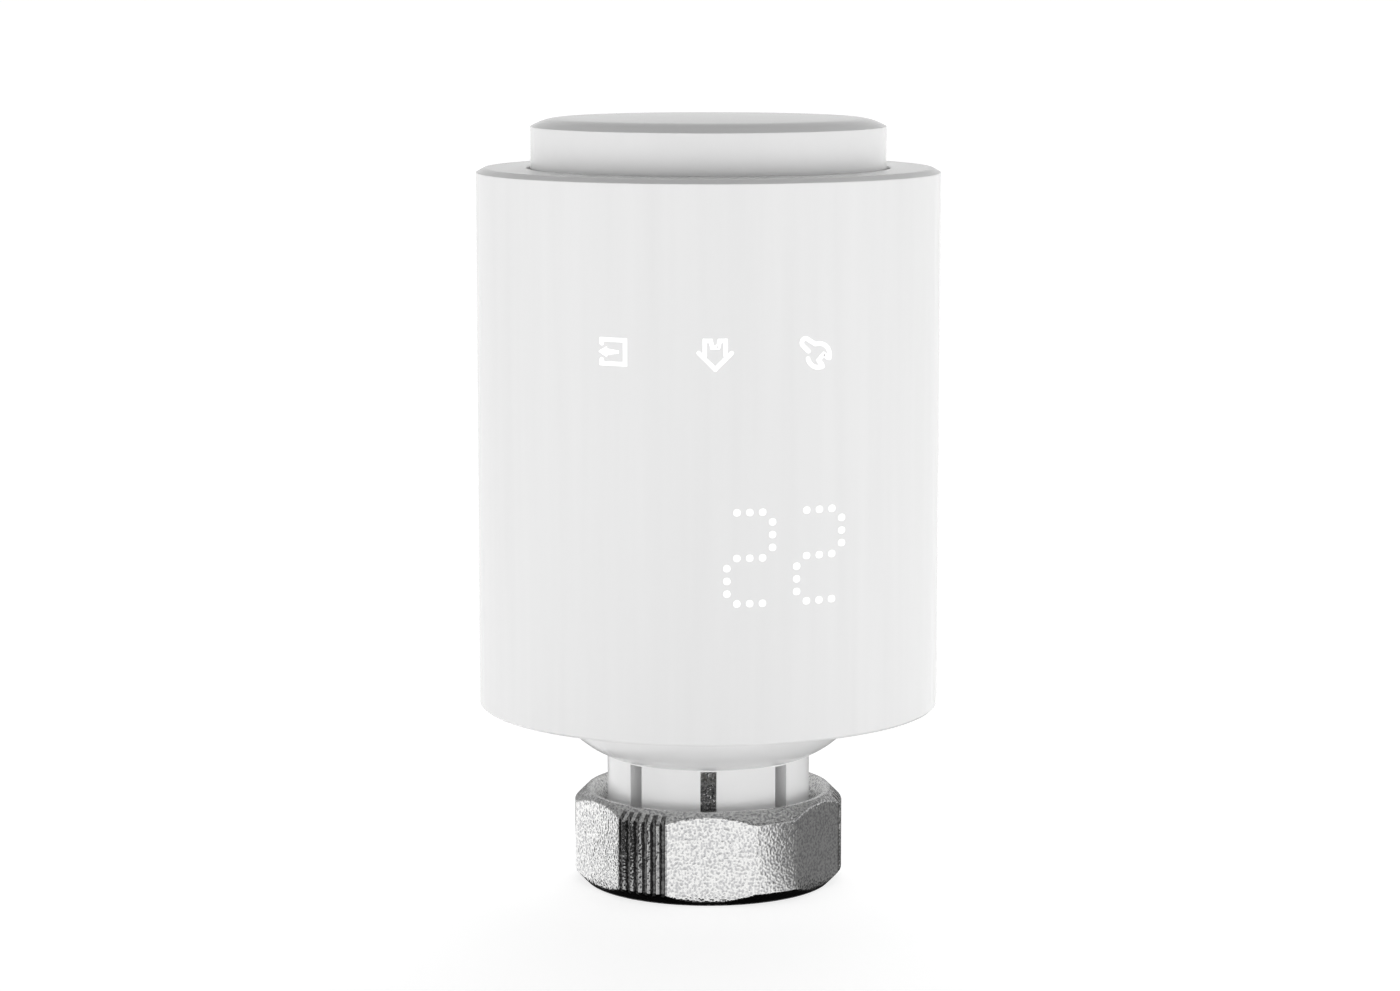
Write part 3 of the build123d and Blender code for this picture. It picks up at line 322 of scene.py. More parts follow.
nut_turn = np.linspace(-np.pi, np.pi, nut_columns, endpoint=False)[None, :]
outer_rows = np.concatenate([chamfer_rows, side_rows, nut_top - chamfer_rows[::-1]])[:, None]
outer_grid = turned(nut_turn, nut_outside(nut_turn, outer_rows), outer_rows)
mouth_outline = np.array([
    (mouth_radius + mouth_edge, nut_top),
    (mouth_radius, nut_top - mouth_edge),
    (collar_radius + collar_edge / 2, collar_high + collar_edge / 2),
    (collar_radius, collar_high - collar_edge),
    (collar_radius, collar_low + collar_edge),
    (collar_radius + collar_edge, collar_low),
    (relief_radius, collar_low),
    (relief_radius, thread_end + relief_step),
    (relief_radius, thread_end + relief_end),
])
mouth_grid = turned(nut_turn, mouth_outline[:, :1], mouth_outline[:, 1:])
thread_grid = turned(nut_turn, nut_thread(nut_turn, thread_rows), thread_rows)
lead_in_grid = turned(nut_turn, np.array([[thread_bore + thread_start]]), np.array([[0.0]]))
nut_grid = np.concatenate([outer_grid, mouth_grid, thread_grid, lead_in_grid, outer_grid[:1]])
blasted = blasted_nickel("blasted_nickel")
union_nut = piece_from_grids("union_nut_turned", [nut_grid], blasted, "union_nut", sharp=40)
nut_points = np.empty(3 * len(union_nut.data.vertices), dtype=np.float32)
union_nut.data.vertices.foreach_get("co", nut_points)
# Every point of the nut keeps its painted shade factor, which the finish multiplies into the plating's
# colour.
painted_shade = union_nut.data.attributes.new("painted_shade", "FLOAT", "POINT")
painted_shade.data.foreach_set("value", nut_painted_shade(nut_points.reshape(-1, 3)).astype(np.float32))
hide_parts("union_nut")


# Plunger. A turned brass stem with a flatted foot slides in the base and pushes the valve's pin.
# A hardened steel cap is pressed into its tip; the other turned steel and brass pieces share its finish.
ring_scale = 1900
ring_wobble = 2.0
ring_shade = 0.86
dull_scale = 300
brass_yellow = (0.72, 0.53, 0.25)
steel_grey = (0.52, 0.52, 0.54)


def turned_metal(name, colour, roughness):
    """Turned or drawn metal: thin rings round the upright axis vary the colour, and a broad noise
    dulls the gloss in patches."""
    finish, tree, shader, place = new_finish(name)
    waves = {"Vector": place, "Scale": ring_scale, "Distortion": ring_wobble, "Detail": 2}
    rings = add(tree, "TexWave", waves, bands_direction="Z").outputs["Fac"]
    dark = [c * ring_shade for c in colour]
    give(tree, shader, {
        "Base Color": drift(tree, rings, dark, colour),
        "Roughness": ranged(tree, noise(tree, place, dull_scale, 3), roughness - 0.08, roughness + 0.1),
    })
    shader.inputs["Metallic"].default_value = 1.0
    return finish


turned_brass = turned_metal("turned_brass", brass_yellow, 0.3)
hard_steel = turned_metal("hard_steel", steel_grey, 0.28)
dress(turned_brass, "plunger", "motor_pinion")
dress(hard_steel, "plunger_cap", "motor_shaft", "gear_axles", "thrust_washer")


# Gear train. Three acetal wheels step the motor down; the drive gear's hub is the lead screw's nut.
# The moulded wheels run on steel axles between the base and the gearbox cover.
acetal_cream = (0.74, 0.72, 0.66)
acetal = moulded_plastic("acetal", acetal_cream, 0.35, spread=0.03)
dress(acetal, "drive_gear", "second_gear", "first_gear")


# Gearbox cover, chassis and knob carrier. Grey glass-filled mouldings that carry everything else.
# The cover is screwed on the base's posts and the chassis is screwed down on the base plate.
glass_filled_grey = (0.56, 0.57, 0.58)
frame_grey = moulded_plastic("frame_grey", glass_filled_grey, 0.5, spread=0.03, grain=0.06)
dress(frame_grey, "gearbox_cover", "chassis", "knob_carrier")


# Screws. Zinc-plated pan-head thread formers with a cross recess, the same kind throughout:
# three under the base, three in the cover, three in the main board and four in the light mask.
screw_head_radius = 1.8 * mm
screw_head_height = 1.2 * mm
screw_shank_radius = 0.95 * mm
screw_point_radius = 0.6 * mm
screw_point_length = 0.5 * mm
screw_length = 5.0 * mm
screw_crown = 0.25 * mm
head_rim = np.array([(0.96, 0.0), (1.0, 0.05), (1.0, 0.6)])
head_edge = 0.97
recess_depth = 0.75 * mm
recess_half_width = 0.28 * mm
recess_reach = 1.05 * mm
recess_slope = 0.12 * mm
plate_low = 23.4 * mm
base_screw_circle = 23.0 * mm
cover_top = 38.4 * mm
cover_screw_places = np.array([(-22.03, 4.56), (22.03, 4.56), (16.90, -14.85)]) * mm
cover_screw_sink = 0.05 * mm
board_top = 86.7 * mm
board_screw_circle = 17.4 * mm
board_screw_shank = 2.8 * mm
mask_front = -20.8 * mm
mask_screw_places = np.array([(-12.98, 58.55), (-12.98, 74.95), (12.98, 58.55), (12.98, 74.95)]) * mm
mask_screw_shank = 3.45 * mm
screw_columns = 72
head_rows = 26
zinc_grey = (0.60, 0.61, 0.64)
plate_scale = 900
plate_shade = 0.82
plate_gloss = 0.1


def cross_head_screw(head_base, axis_x, axis_y, axis_z, shank_length):
    """Grid of one screw: shank and pan head as a turned outline, with the head's top lowered by a domed
    crown and by a cross recess where the smaller of |x| and |y| is under the recess's half width."""
    around = np.linspace(0, 2 * np.pi, screw_columns, endpoint=False)[None, :]
    shank = np.array([
        (0, -shank_length),
        (screw_point_radius, -shank_length),
        (screw_shank_radius, screw_point_length - shank_length),
        (screw_shank_radius, 0),
    ])
    rim = head_rim * (screw_head_radius, screw_head_height)
    top_radius = np.linspace(head_edge, 0, head_rows)[:, None] * screw_head_radius
    x = top_radius * np.cos(around)
    y = top_radius * np.sin(around)
    narrow = np.clip((recess_half_width - np.minimum(np.abs(x), np.abs(y))) / recess_slope, 0, 1)
    reach = np.clip((recess_reach - top_radius) / recess_slope, 0, 1)
    crown = screw_head_height - screw_crown * (top_radius / screw_head_radius) ** 2
    top = crown - recess_depth * narrow * reach
    side = np.concatenate([shank, rim])
    radius = np.concatenate([side[:, :1], top_radius])
    height = np.concatenate([side[:, 1:] * np.ones_like(around), top])
    local = turned(around, radius, height)
    return head_base + local[..., :1] * axis_x + local[..., 1:2] * axis_y + local[..., 2:] * axis_z


def around_axis(radius, angles, height):
    """Points at one radius and height, one for each angle in degrees."""
    angles = np.radians(angles)
    return turned(angles, radius, height)


def plated_steel(name, colour, roughness):
    """Bright plating on steel: small patches of noise vary its tone and its gloss."""
    finish, tree, shader, place = new_finish(name)
    patches = noise(tree, place, plate_scale, 4)
    dark = [c * plate_shade for c in colour]
    give(tree, shader, {
        "Base Color": drift(tree, patches, dark, colour),
        "Roughness": ranged(tree, patches, roughness - plate_gloss, roughness + plate_gloss),
    })
    shader.inputs["Metallic"].default_value = 1.0
    return finish


right = np.array([1.0, 0.0, 0.0])
back = np.array([0.0, 1.0, 0.0])
up = np.array([0.0, 0.0, 1.0])
base_screw_seats = around_axis(base_screw_circle, (45, 135, -90), plate_low + screw_head_height)
cover_screw_seats = np.insert(cover_screw_places, 2, cover_top, axis=1)
board_screw_seats = around_axis(board_screw_circle, (40, 140, -62), board_top)
mask_screw_seats = np.insert(mask_screw_places, 1, mask_front, axis=1)
screw_sets = {
    "base_screws": (base_screw_seats, (right, -back, -up), screw_length - screw_head_height),
    "gearbox_screws": (cover_screw_seats, (right, back, up), screw_length - cover_screw_sink),
    "board_screws": (board_screw_seats, (right, back, up), board_screw_shank),
    "mask_screws": (mask_screw_seats, (right, up, -back), mask_screw_shank),
}
zinc_plate = plated_steel("zinc_plate", zinc_grey, 0.34)
for screw_node, (seats, axes, shank_length) in screw_sets.items():
    screw_grids = [cross_head_screw(seat, *axes, shank_length) for seat in seats]
    screws = piece_from_grids(screw_node + "_cross_head", screw_grids, zinc_plate, "base")
    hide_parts(screw_node)


# Motor. A small flat-sided can of drawn steel stands in the cover's cradle, closed by a black cap.
# Two leads, one black and one red, run up to the main board.
motor_axis_x = 5.18 * mm
can_grey = (0.58, 0.58, 0.59)
cap_black = (0.022, 0.022, 0.024)
lead_black = (0.02, 0.02, 0.022)
lead_red = (0.45, 0.03, 0.025)
smear_scale = 1500
lead_gloss = (0.35, 0.55)


def figured(tree, operation, *values, **settings):
    """Result of a sum on two or three values."""
    sockets = dict(enumerate(values))
    return add(tree, "Math", sockets, operation=operation, **settings).outputs["Value"]


def two_tone_leads(name):
    """Wire covers: black on one side of the motor's axis and red on the other, with faint smears."""
    finish, tree, shader, place = new_finish(name)
    across = add(tree, "SeparateXYZ", {"Vector": place}).outputs["X"]
    side = figured(tree, "GREATER_THAN", across, motor_axis_x)
    give(tree, shader, {
        "Base Color": drift(tree, side, lead_black, lead_red),
        "Roughness": ranged(tree, noise(tree, place, smear_scale), *lead_gloss),
    })
    return finish


motor_steel = plated_steel("motor_steel", can_grey, 0.4)
black_moulding = moulded_plastic("black_moulding", cap_black, 0.45, spread=0.12)
dress(motor_steel, "motor_can")
dress(black_moulding, "motor_end_cap")
dress(two_tone_leads("lead_covers"), "motor_leads")


# Cells and contacts. Two AA cells stand side by side behind the bay's wall, one of them upside down.
# Each is a drawn can in a printed film wrap; plated spring contacts join them at the floor and deck.
cell_button_height = 1.2 * mm
cell_foot = np.array([
    (0, 0.15), (4.2, 0.15), (4.6, 0), (6.2, 0), (6.75, 0.1), (6.95, 0.35),
    (7.0, 0.88), (7.2, 0.9), (7.25, 1.02), (7.25, 1.5),
]) * mm
cell_shoulder = np.array([
    (7.25, -1.2), (7.25, -0.5), (7.15, -0.2), (6.9, 0), (5.6, 0),
    (5.4, -0.25), (3.3, -0.25), (2.95, 0), (2.75, 0.25),
]) * mm
cell_button = np.array([(2.75, -0.35), (2.5, -0.08), (2.1, 0), (0, 0)]) * mm
cell_columns = 128
bare_radius = 7.05 * mm
wrap_body = (0.60, 0.63, 0.66)
wrap_band = (0.035, 0.13, 0.24)
band_share = 0.72
scuff_scale = 700
wrap_gloss = (0.22, 0.4)
cell_metal = (0.62, 0.62, 0.61)
contact_metal = (0.72, 0.70, 0.64)


def cell_grid(centre, flat_end, button_end):
    """Grid of one cell: a turned outline from the flat end's dimple over the crimped edges and the
    wrap's ends to the button, mirrored when the button points down."""
    way = np.sign(button_end - flat_end)
    length = abs(button_end - flat_end)
    shoulder = cell_shoulder + (0, length - cell_button_height)
    outline = np.concatenate([cell_foot, shoulder, cell_button + (0, length)])
    around = np.linspace(0, 2 * np.pi, cell_columns, endpoint=False)[None, :]
    return turned(around, outline[:, :1], flat_end + way * outline[:, 1:]) + (*centre, 0)


def cell_wrap(name, centre, low, high, button_up):
    """Printed wrap: plain body with a dark band towards the button end, bare plated metal past the
    wrap's ends and on the button, and a soft sheen that noise breaks up."""
    finish, tree, shader, place = new_finish(name)
    height = add(tree, "SeparateXYZ", {"Vector": place}).outputs["Z"]
    first, last = (0, 1) if button_up else (1, 0)
    along = ranged(tree, height, first, last, low, high)
    band = figured(tree, "GREATER_THAN", along, band_share)
    level = add(tree, "VectorMath", {0: place, 1: (1, 1, 0)}, operation="MULTIPLY").outputs["Vector"]
    axis = {0: level, 1: (*centre, 0)}
    reach = add(tree, "VectorMath", axis, operation="DISTANCE").outputs["Value"]
    bare = figured(tree, "LESS_THAN", reach, bare_radius)
    coat = add(tree, "Mix", {"Factor": bare}, data_type="RGBA")
    tree.links.new(drift(tree, band, wrap_body, wrap_band), coat.inputs["A"])
    coat.inputs["B"].default_value = (*cell_metal, 1)
    give(tree, shader, {
        "Base Color": coat.outputs["Result"],
        "Metallic": bare,
        "Roughness": ranged(tree, noise(tree, place, scuff_scale, 3), *wrap_gloss),
    })
    return finish


for cell_node, button_up in (("battery_left", True), ("battery_right", False)):
    cell_low, cell_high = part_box(cell_node)
    middle = ((cell_low.x + cell_high.x) / 2, (cell_low.y + cell_high.y) / 2)
    flat_end, button_end = (cell_low.z, cell_high.z) if button_up else (cell_high.z, cell_low.z)
    wrap = cell_wrap(cell_node + "_wrap", middle, cell_low.z, cell_high.z, button_up)
    can = cell_grid(middle, flat_end, button_end)
    cell = piece_from_grids(cell_node + "_cell", [can], wrap, "base")
    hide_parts(cell_node)

contact_plate = plated_steel("contact_plate", contact_metal, 0.25)
dress(contact_plate, "battery_bridge", "battery_terminals")


# Display. Small lights on a flat board shine through wells in a black mask to a frosted film, which
# is wrapped round the mask's front. The lit dots and signs stand on the film, behind the sleeve.
film_radius = -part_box("diffuser_film")[0].y
film_grey = (0.70, 0.71, 0.72)
film_glow = 0.5
lamp_glow = 0.8
window_dim = (0.9, 0.9, 0.9)
window_bright = (0.98, 0.98, 0.98)
window_roughness = 0.4
resin_scale = 2500
light_skin = 0.015 * mm
light_depth = 0.15 * mm
dot_radius = 0.455 * mm
dot_pitch = 1.53 * mm
dot_columns = 28
dot_rings = np.array([0, 0.5, 0.93, 1.0, 1.0, 0.5, 0])[:, None]
dot_rises = np.array([1, 1, 1, 0.6, 0, 0, 0])[:, None]
digit_places = np.array([4.86, 13.20]) * mm
digit_middle = 45.68 * mm
digit_half_height = 5.48 * mm
digit_half_width = 2.72 * mm
stroke_step = 0.12 * mm
stroke_end_steps = 8
sharpest_mitre = 0.5
longest_stroke = 20
sign_stroke = 0.49
exit_place = (-11.28, 70.11)
house_place = (0.74, 69.94)
spanner_place = (12.70, 69.90)
spanner_squeeze = np.array([0.90, 1.0])


def lit_dot_places():
    """Place and height of each lit dot of the number 22: three rows of three, then the upper right and
    the lower left columns of three, for both digits at once."""
    step = np.array([-1.0, 0.0, 1.0]) * dot_pitch
    levels = np.array([1, 0, -1]) * digit_half_height
    rows = [np.stack([step, np.full(3, level)], axis=-1) for level in levels]
    upper = np.stack([np.full(3, digit_half_width), digit_half_height / 2 + step], axis=-1)
    digit = np.concatenate([*rows, upper, -upper])
    middles = np.stack([digit_places, np.full(2, digit_middle)], axis=-1)
    return (middles[:, None, :] + digit[None, :, :]).reshape(-1, 2)


def wrapped(across, height, radius):
    """Points on the front of an upright cylinder, straight in front of a flat sheet: across and height
    stay, and the depth is the root of the radius squared less across squared."""
    depth = -np.sqrt(radius ** 2 - across ** 2)
    return np.stack(np.broadcast_arrays(across, depth, height), axis=-1)


def dot_grids(radius):
    """One closed lens for each lit dot: rings that grow from the middle of its face to its rim and go
    back to the middle of its rear, wrapped on a cylinder of this radius."""
    around = np.linspace(0, 2 * np.pi, dot_columns, endpoint=False)[None, :]
    shell = radius - light_depth + (light_depth + light_skin) * dot_rises
    x = dot_radius * dot_rings * np.cos(around)
    z = dot_radius * dot_rings * np.sin(around)
    return [wrapped(across + x, height + z, shell) for across, height in lit_dot_places()]


def stroke_grid(path, widths, radius):
    """A flat stroke along a path of place and height: each point is moved to both sides by half the
    width along the mitre of its two runs, with round ends, and wrapped as a four-sided ribbon.
    Widths are pairs of distance along the path and width there."""
    path = np.asarray(path, dtype=float) * mm
    widths = np.asarray(widths, dtype=float) * mm
    runs = np.linalg.norm(np.diff(path, axis=0), axis=1)
    reached = np.concatenate([[0], np.cumsum(runs)])
    length = reached[-1]
    round_end = widths[:, 1].min() / 2
    ends = round_end * (1 - np.cos(np.linspace(0, np.pi / 2, stroke_end_steps)))
    filled = np.linspace(0, length, int(length / stroke_step))
    stations = np.concatenate([filled, reached, ends, length - ends, widths[:, 0]])
    stations = np.unique(np.clip(np.round(stations, 6), 0, length))
    stations[-1] = length
    points = np.stack([np.interp(stations, reached, path[:, axis]) for axis in (0, 1)], axis=-1)
    runs = np.diff(points, axis=0)
    runs /= np.linalg.norm(runs, axis=1, keepdims=True)
    before = np.concatenate([runs[:1], runs])
    after = np.concatenate([runs, runs[-1:]])
    mean = before + after
    mean /= np.linalg.norm(mean, axis=1, keepdims=True)
    mitre = 1 / np.clip(np.sum(mean * before, axis=1), sharpest_mitre, 1)
    from_end = np.clip(np.minimum(stations, length - stations) / round_end, 0, 1)
    half = np.interp(stations, widths[:, 0], widths[:, 1]) / 2 * np.sqrt(1 - (1 - from_end) ** 2)
    side = np.stack([-mean[:, 1], mean[:, 0]], axis=-1) * (mitre * half)[:, None]
    one = points + side
    other = points - side
    corners = [(one, light_skin), (other, light_skin), (other, -light_depth), (one, -light_depth)]
    ribbon = [wrapped(c[:, 0], c[:, 1], radius + lift) for c, lift in corners]
    return np.stack(ribbon, axis=1)


def arc_points(centre, radius, start, end, count):
    """Points of an arc by its centre, radius, first and last angle in degrees."""
    angles = np.radians(np.linspace(start, end, count))
    return centre + radius * np.stack([np.cos(angles), np.sin(angles)], axis=-1)


def sign_strokes():
    """The three mode signs as strokes, in millimetres from each sign's middle: a bracket with an arrow
    out of it, a house standing on its roof, and an open spanner."""
    plain = [(0, sign_stroke), (longest_stroke, sign_stroke)]
    bracket = [(-1.43, 0.73), (-1.43, 1.46), (1.36, 1.42), (1.36, -1.42), (-1.43, -1.40), (-1.43, -0.68)]
    arrow = [(-1.78, 0.0), (0.62, 0.0)]
    arrow_widths = [(0, 0.10), (0.98, 1.32), (1.02, 0.74), (2.40, 0.34)]
    left_roof = [(-2.12, 0.42), (0.20, -1.86)]
    right_roof = [(2.12, 0.42), (-0.20, -1.86)]
    walls = [(-1.23, -0.30), (-1.23, 1.70), (-0.52, 1.70), (-0.36, 0.94),
             (0.36, 0.94), (0.52, 1.70), (1.23, 1.70), (1.23, -0.30)]
    grip = spanner_squeeze * arc_points((-1.40, 1.32), 0.49, 225, 50, 16)
    upper = spanner_squeeze * arc_points((0.40, -0.30), 1.45, 108, -24, 22)
    lower = spanner_squeeze * arc_points((0.36, -0.26), 1.45, -58, -176, 20)
    handle = np.concatenate([[(-0.72, 0.10)], grip, upper])
    jaw = [upper[-2], (0.95, -0.17), (0.29, -0.87), lower[1]]
    return [
        (exit_place, [(bracket, plain), (arrow, arrow_widths)]),
        (house_place, [(left_roof, plain), (right_roof, plain), (walls, plain)]),
        (spanner_place, [(handle, plain), (jaw, plain), (lower, plain)]),
    ]


def sign_grids(radius):
    """Ribbons of all the signs' strokes on a cylinder of this radius."""
    grids = []
    for place, strokes in sign_strokes():
        grids += [stroke_grid(np.add(path, place), widths, radius) for path, widths in strokes]
    return grids


def lit_window(name, glow):
    """Clear white resin lit from behind: near white, brighter in the middle of its noise patches."""
    finish, tree, shader, place = new_finish(name)
    patches = noise(tree, place, resin_scale)
    give(tree, shader, {"Base Color": drift(tree, patches, window_dim, window_bright)})
    shader.inputs["Roughness"].default_value = window_roughness
    shader.inputs["Emission Color"].default_value = (1, 1, 1, 1)
    shader.inputs["Emission Strength"].default_value = glow
    return finish


film_light = lit_window("film_light", film_glow)
film_dots = piece_from_grids("film_dots", dot_grids(film_radius), film_light, "base")
film_signs = piece_from_grids("film_signs", sign_grids(film_radius), film_light, "base")
frosted_film = moulded_plastic("frosted_film", film_grey, 0.3, spread=0.02)
dress(frosted_film, "diffuser_film")
dress(lit_window("lamp_resin", lamp_glow), "display_leds")
dress(black_moulding, "light_mask", "board_header")


# Boards. Glass-epoxy boards under green lacquer: the round main board lies on the deck with the push
# switch, the radio, the turn sensors and the larger parts; the display board stands behind the mask.
lacquer_dark = (0.012, 0.10, 0.045)
lacquer_light = (0.03, 0.20, 0.09)
copper_scale = 520
copper_scatter = 0.75
copper_edge = (0.30, 0.36)
copper_depth = 0.03 * mm
lacquer_scale = 1200
lacquer_gloss = (0.28, 0.42)
shield_tin = (0.70, 0.70, 0.69)
button_cream = (0.62, 0.60, 0.55)


def board_lacquer(name):
    """Lacquered board: squared cells with thin borders stand for copper runs under the lacquer, which
    shows them lighter, and a fine noise clouds the gloss."""
    finish, tree, shader, place = new_finish(name)
    cells = {"Vector": place, "Scale": copper_scale, "Randomness": copper_scatter}
    runs = add(tree, "TexVoronoi", cells, distance="CHEBYCHEV").outputs["Distance"]
    edge = ranged(tree, runs, 0, 1, *copper_edge)
    give(tree, shader, {
        "Base Color": drift(tree, edge, lacquer_dark, lacquer_light),
        "Roughness": ranged(tree, noise(tree, place, lacquer_scale), *lacquer_gloss),
        "Normal": bumped(tree, edge, 0.3, copper_depth),
    })
    return finish


dress(board_lacquer("board_lacquer"), "main_board", "display_board")
dress(plated_steel("tinned_shield", shield_tin, 0.3), "radio_module")
dress(black_moulding, "push_switch", "hall_sensors", "board_parts")
dress(moulded_plastic("button_plastic", button_cream, 0.4), "switch_button")


# Knob. A crowned white cap with a thin skirt, moulded in one piece with its bearing and three hooks.
# It clips on the carrier's rim, turns without end, and goes down with the carrier when pressed.
# A ring of black ferrite under it turns past the sensors on the board.
knob_low, knob_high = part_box("knob")
knob_radius = knob_high.x
knob_apex = knob_high.z
skirt_low = knob_low.z
knob_wall = 1.6 * mm
knob_roof = 1.8 * mm
crown_drop = 0.35 * mm
edge_width = 3.5 * mm
edge_drop = 1.05 * mm
shoulder = knob_radius - edge_width
shoulder_height = knob_apex - crown_drop
rim_height = shoulder_height - edge_drop
skirt_rounds = np.array([0.06, 0.15, 0.15, 0.3, 0.3]) * mm
bearing_section = (5.05 * mm, 6.8 * mm, 91.85 * mm, 95.85 * mm)
hook_section = (17.0 * mm, 18.3 * mm, 90.0 * mm, 95.85 * mm)
lip_section = (16.2 * mm, 18.3 * mm, 89.25 * mm, 90.25 * mm)
hook_half_width = 4.5 * mm
hook_angles = np.radians([0, 120, 240])
knob_columns = 288
bearing_columns = 96
crown_steps = 14
bar_steps = 13
knob_roughness = 0.19
shell_grain = 0.006
ferrite_black = (0.03, 0.03, 0.032)


def rounded(corners, reach, steps=6):
    """Open outline through corner points, each inner corner made a small curve: it starts and ends its
    reach away from the corner and bends as a quadratic between the two runs, and a further point on
    both sides keeps the long runs flat."""
    corners = np.asarray(corners, dtype=float)
    middle = corners[1:-1, None]
    reach = np.broadcast_to(reach, len(corners) - 2)[:, None, None]
    behind = corners[:-2, None] - middle
    ahead = corners[2:, None] - middle
    behind = reach * behind / np.linalg.norm(behind, axis=-1, keepdims=True)
    ahead = reach * ahead / np.linalg.norm(ahead, axis=-1, keepdims=True)
    along = np.linspace(0, 1, steps)[None, :, None]
    curves = middle + (1 - along) ** 2 * behind + along ** 2 * ahead
    curves = np.concatenate([middle + 2 * behind, curves, middle + 2 * ahead], axis=1)
    return np.concatenate([corners[:1], curves.reshape(-1, 2), corners[-1:]])


def spun(outline, columns):
    """An outline of radius and height turned once round the axis."""
    around = np.linspace(0, 2 * np.pi, columns, endpoint=False)[None, :]
    return turned(around, outline[:, :1], outline[:, 1:])


def box_outline(inner, outer, low, high, reach=0.12 * mm):
    """Closed outline of a square-cornered section with small rounds, begun in the middle of one side."""
    half = (inner, (low + high) / 2)
    return rounded([half, (inner, high), (outer, high), (outer, low), (inner, low), half], reach)


def bent_bar(section, middle, half_angle):
    """A bar of square section bent round the axis: its outline runs along the columns and the angle
    along the rows, and each end closes on its own middle."""
    outline = box_outline(*section)[:-1]
    centre = outline.mean(axis=0, keepdims=True) * np.ones_like(outline)
    angles = middle + half_angle * np.linspace(-1, 1, bar_steps)
    angles = np.concatenate([angles[:1], angles, angles[-1:]])[:, None]
    full = np.ones((bar_steps, 1, 1)) * outline[None]
    sections = np.concatenate([centre[None], full, centre[None]])
    return turned(angles, sections[..., 0], sections[..., 1])


def knob_outline():
    """Half outline of the knob: a crown that falls with the square of the radius, an arc tangent to it
    that falls steeper to the rim, the skirt, and the inside of the roof back to the axis."""
    crown_radius = np.linspace(0, shoulder, crown_steps)
    crown_height = knob_apex - crown_drop * (crown_radius / shoulder) ** 2
    crown = np.stack([crown_radius, crown_height], axis=-1)
    lean = np.arctan(2 * crown_drop / shoulder)
    turn = 2 * (np.arctan(edge_drop / edge_width) - lean)
    bend = np.hypot(edge_width, edge_drop) / (2 * np.sin(turn / 2))
    angles = lean + turn * np.linspace(0, 1, crown_steps)
    edge_radius = shoulder + bend * (np.sin(angles) - np.sin(lean))
    edge_height = shoulder_height + bend * (np.cos(angles) - np.cos(lean))
    edge = np.stack([edge_radius, edge_height], axis=-1)
    inside = knob_radius - knob_wall
    skirt = rounded([
        edge[-2],
        edge[-1],
        (knob_radius, skirt_low),
        (inside, skirt_low),
        (inside, rim_height - knob_roof),
        (shoulder, shoulder_height - knob_roof),
        (0, knob_apex - knob_roof),
    ], skirt_rounds)
    return np.concatenate([crown, edge[1:-2], skirt])


knob_white = moulded_plastic("knob_white", shell_white, knob_roughness, grain=shell_grain)
knob_grids = [spun(knob_outline(), knob_columns), spun(box_outline(*bearing_section), bearing_columns)]
hook_half_angle = hook_half_width / hook_section[0]
for hook_angle in hook_angles:
    knob_grids += [bent_bar(part, hook_angle, hook_half_angle) for part in (hook_section, lip_section)]
knob = piece_from_grids("knob_cap", knob_grids, knob_white, "knob")
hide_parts("knob")
ferrite = moulded_plastic("ferrite", ferrite_black, 0.6, spread=0.2, grain=0.1)
dress(ferrite, "magnet_ring")


# Outer sleeve. A plain white tube with a flat roof ring round the knob, pulled off upwards for the
# cells. Two keys inside hold it from turning; the lights show through its thinned wall.
sleeve_low, sleeve_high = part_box("outer_sleeve")
sleeve_face = sleeve_high.x - light_skin
sleeve_inside = 27.4 * mm
sleeve_waist = 60 * mm
knob_hole = 22.7 * mm
roof_low = 88.8 * mm
chamfer_width = 1.0 * mm
chamfer_drop = 0.55 * mm
foot_chamfer = 0.3 * mm
sleeve_rounds = np.array([0.1, 0.08, 0.08, 0.1, 0.12, 0.15, 0.15, 0.3]) * mm
seat_section = (24.0 * mm, 25.6 * mm, 85.5 * mm, 88.9 * mm)
key_section = (26.3 * mm, 27.6 * mm, 42.4 * mm, 79.9 * mm)
key_half_width = 1.0 * mm
sleeve_columns = 360
seat_columns = 240
sleeve_roughness = 0.21
streak_spread = 0.035
streak_length = 24
window_glow = 0.35


def sleeve_outline():
    """Closed half outline of the sleeve, from the middle of its inner wall round its foot, face and
    roof."""
    half = (sleeve_inside, sleeve_waist)
    return rounded([
        half,
        (sleeve_inside, sleeve_low.z),
        (sleeve_face - foot_chamfer, sleeve_low.z),
        (sleeve_face, sleeve_low.z + foot_chamfer),
        (sleeve_face, sleeve_high.z - chamfer_drop),
        (sleeve_face - chamfer_width, sleeve_high.z),
        (knob_hole, sleeve_high.z),
        (knob_hole, roof_low),
        (sleeve_inside, roof_low),
        half,
    ], sleeve_rounds)


sleeve_white = moulded_plastic("sleeve_white", shell_white, sleeve_roughness, spread=streak_spread,
                               streak=streak_length, grain=shell_grain)
sleeve_grids = [spun(sleeve_outline(), sleeve_columns), spun(box_outline(*seat_section), seat_columns)]
key_half_angle = key_half_width / key_section[0]
sleeve_grids += [bent_bar(key_section, angle, key_half_angle) for angle in (0, np.pi)]
sleeve = piece_from_grids("sleeve_shell", sleeve_grids, sleeve_white, "sleeve")
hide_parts("outer_sleeve")
window_light = lit_window("window_light", window_glow)
sleeve_dots = piece_from_grids("sleeve_dots", dot_grids(sleeve_face), window_light, "sleeve")
sleeve_signs = piece_from_grids("sleeve_signs", sign_grids(sleeve_face), window_light, "sleeve")


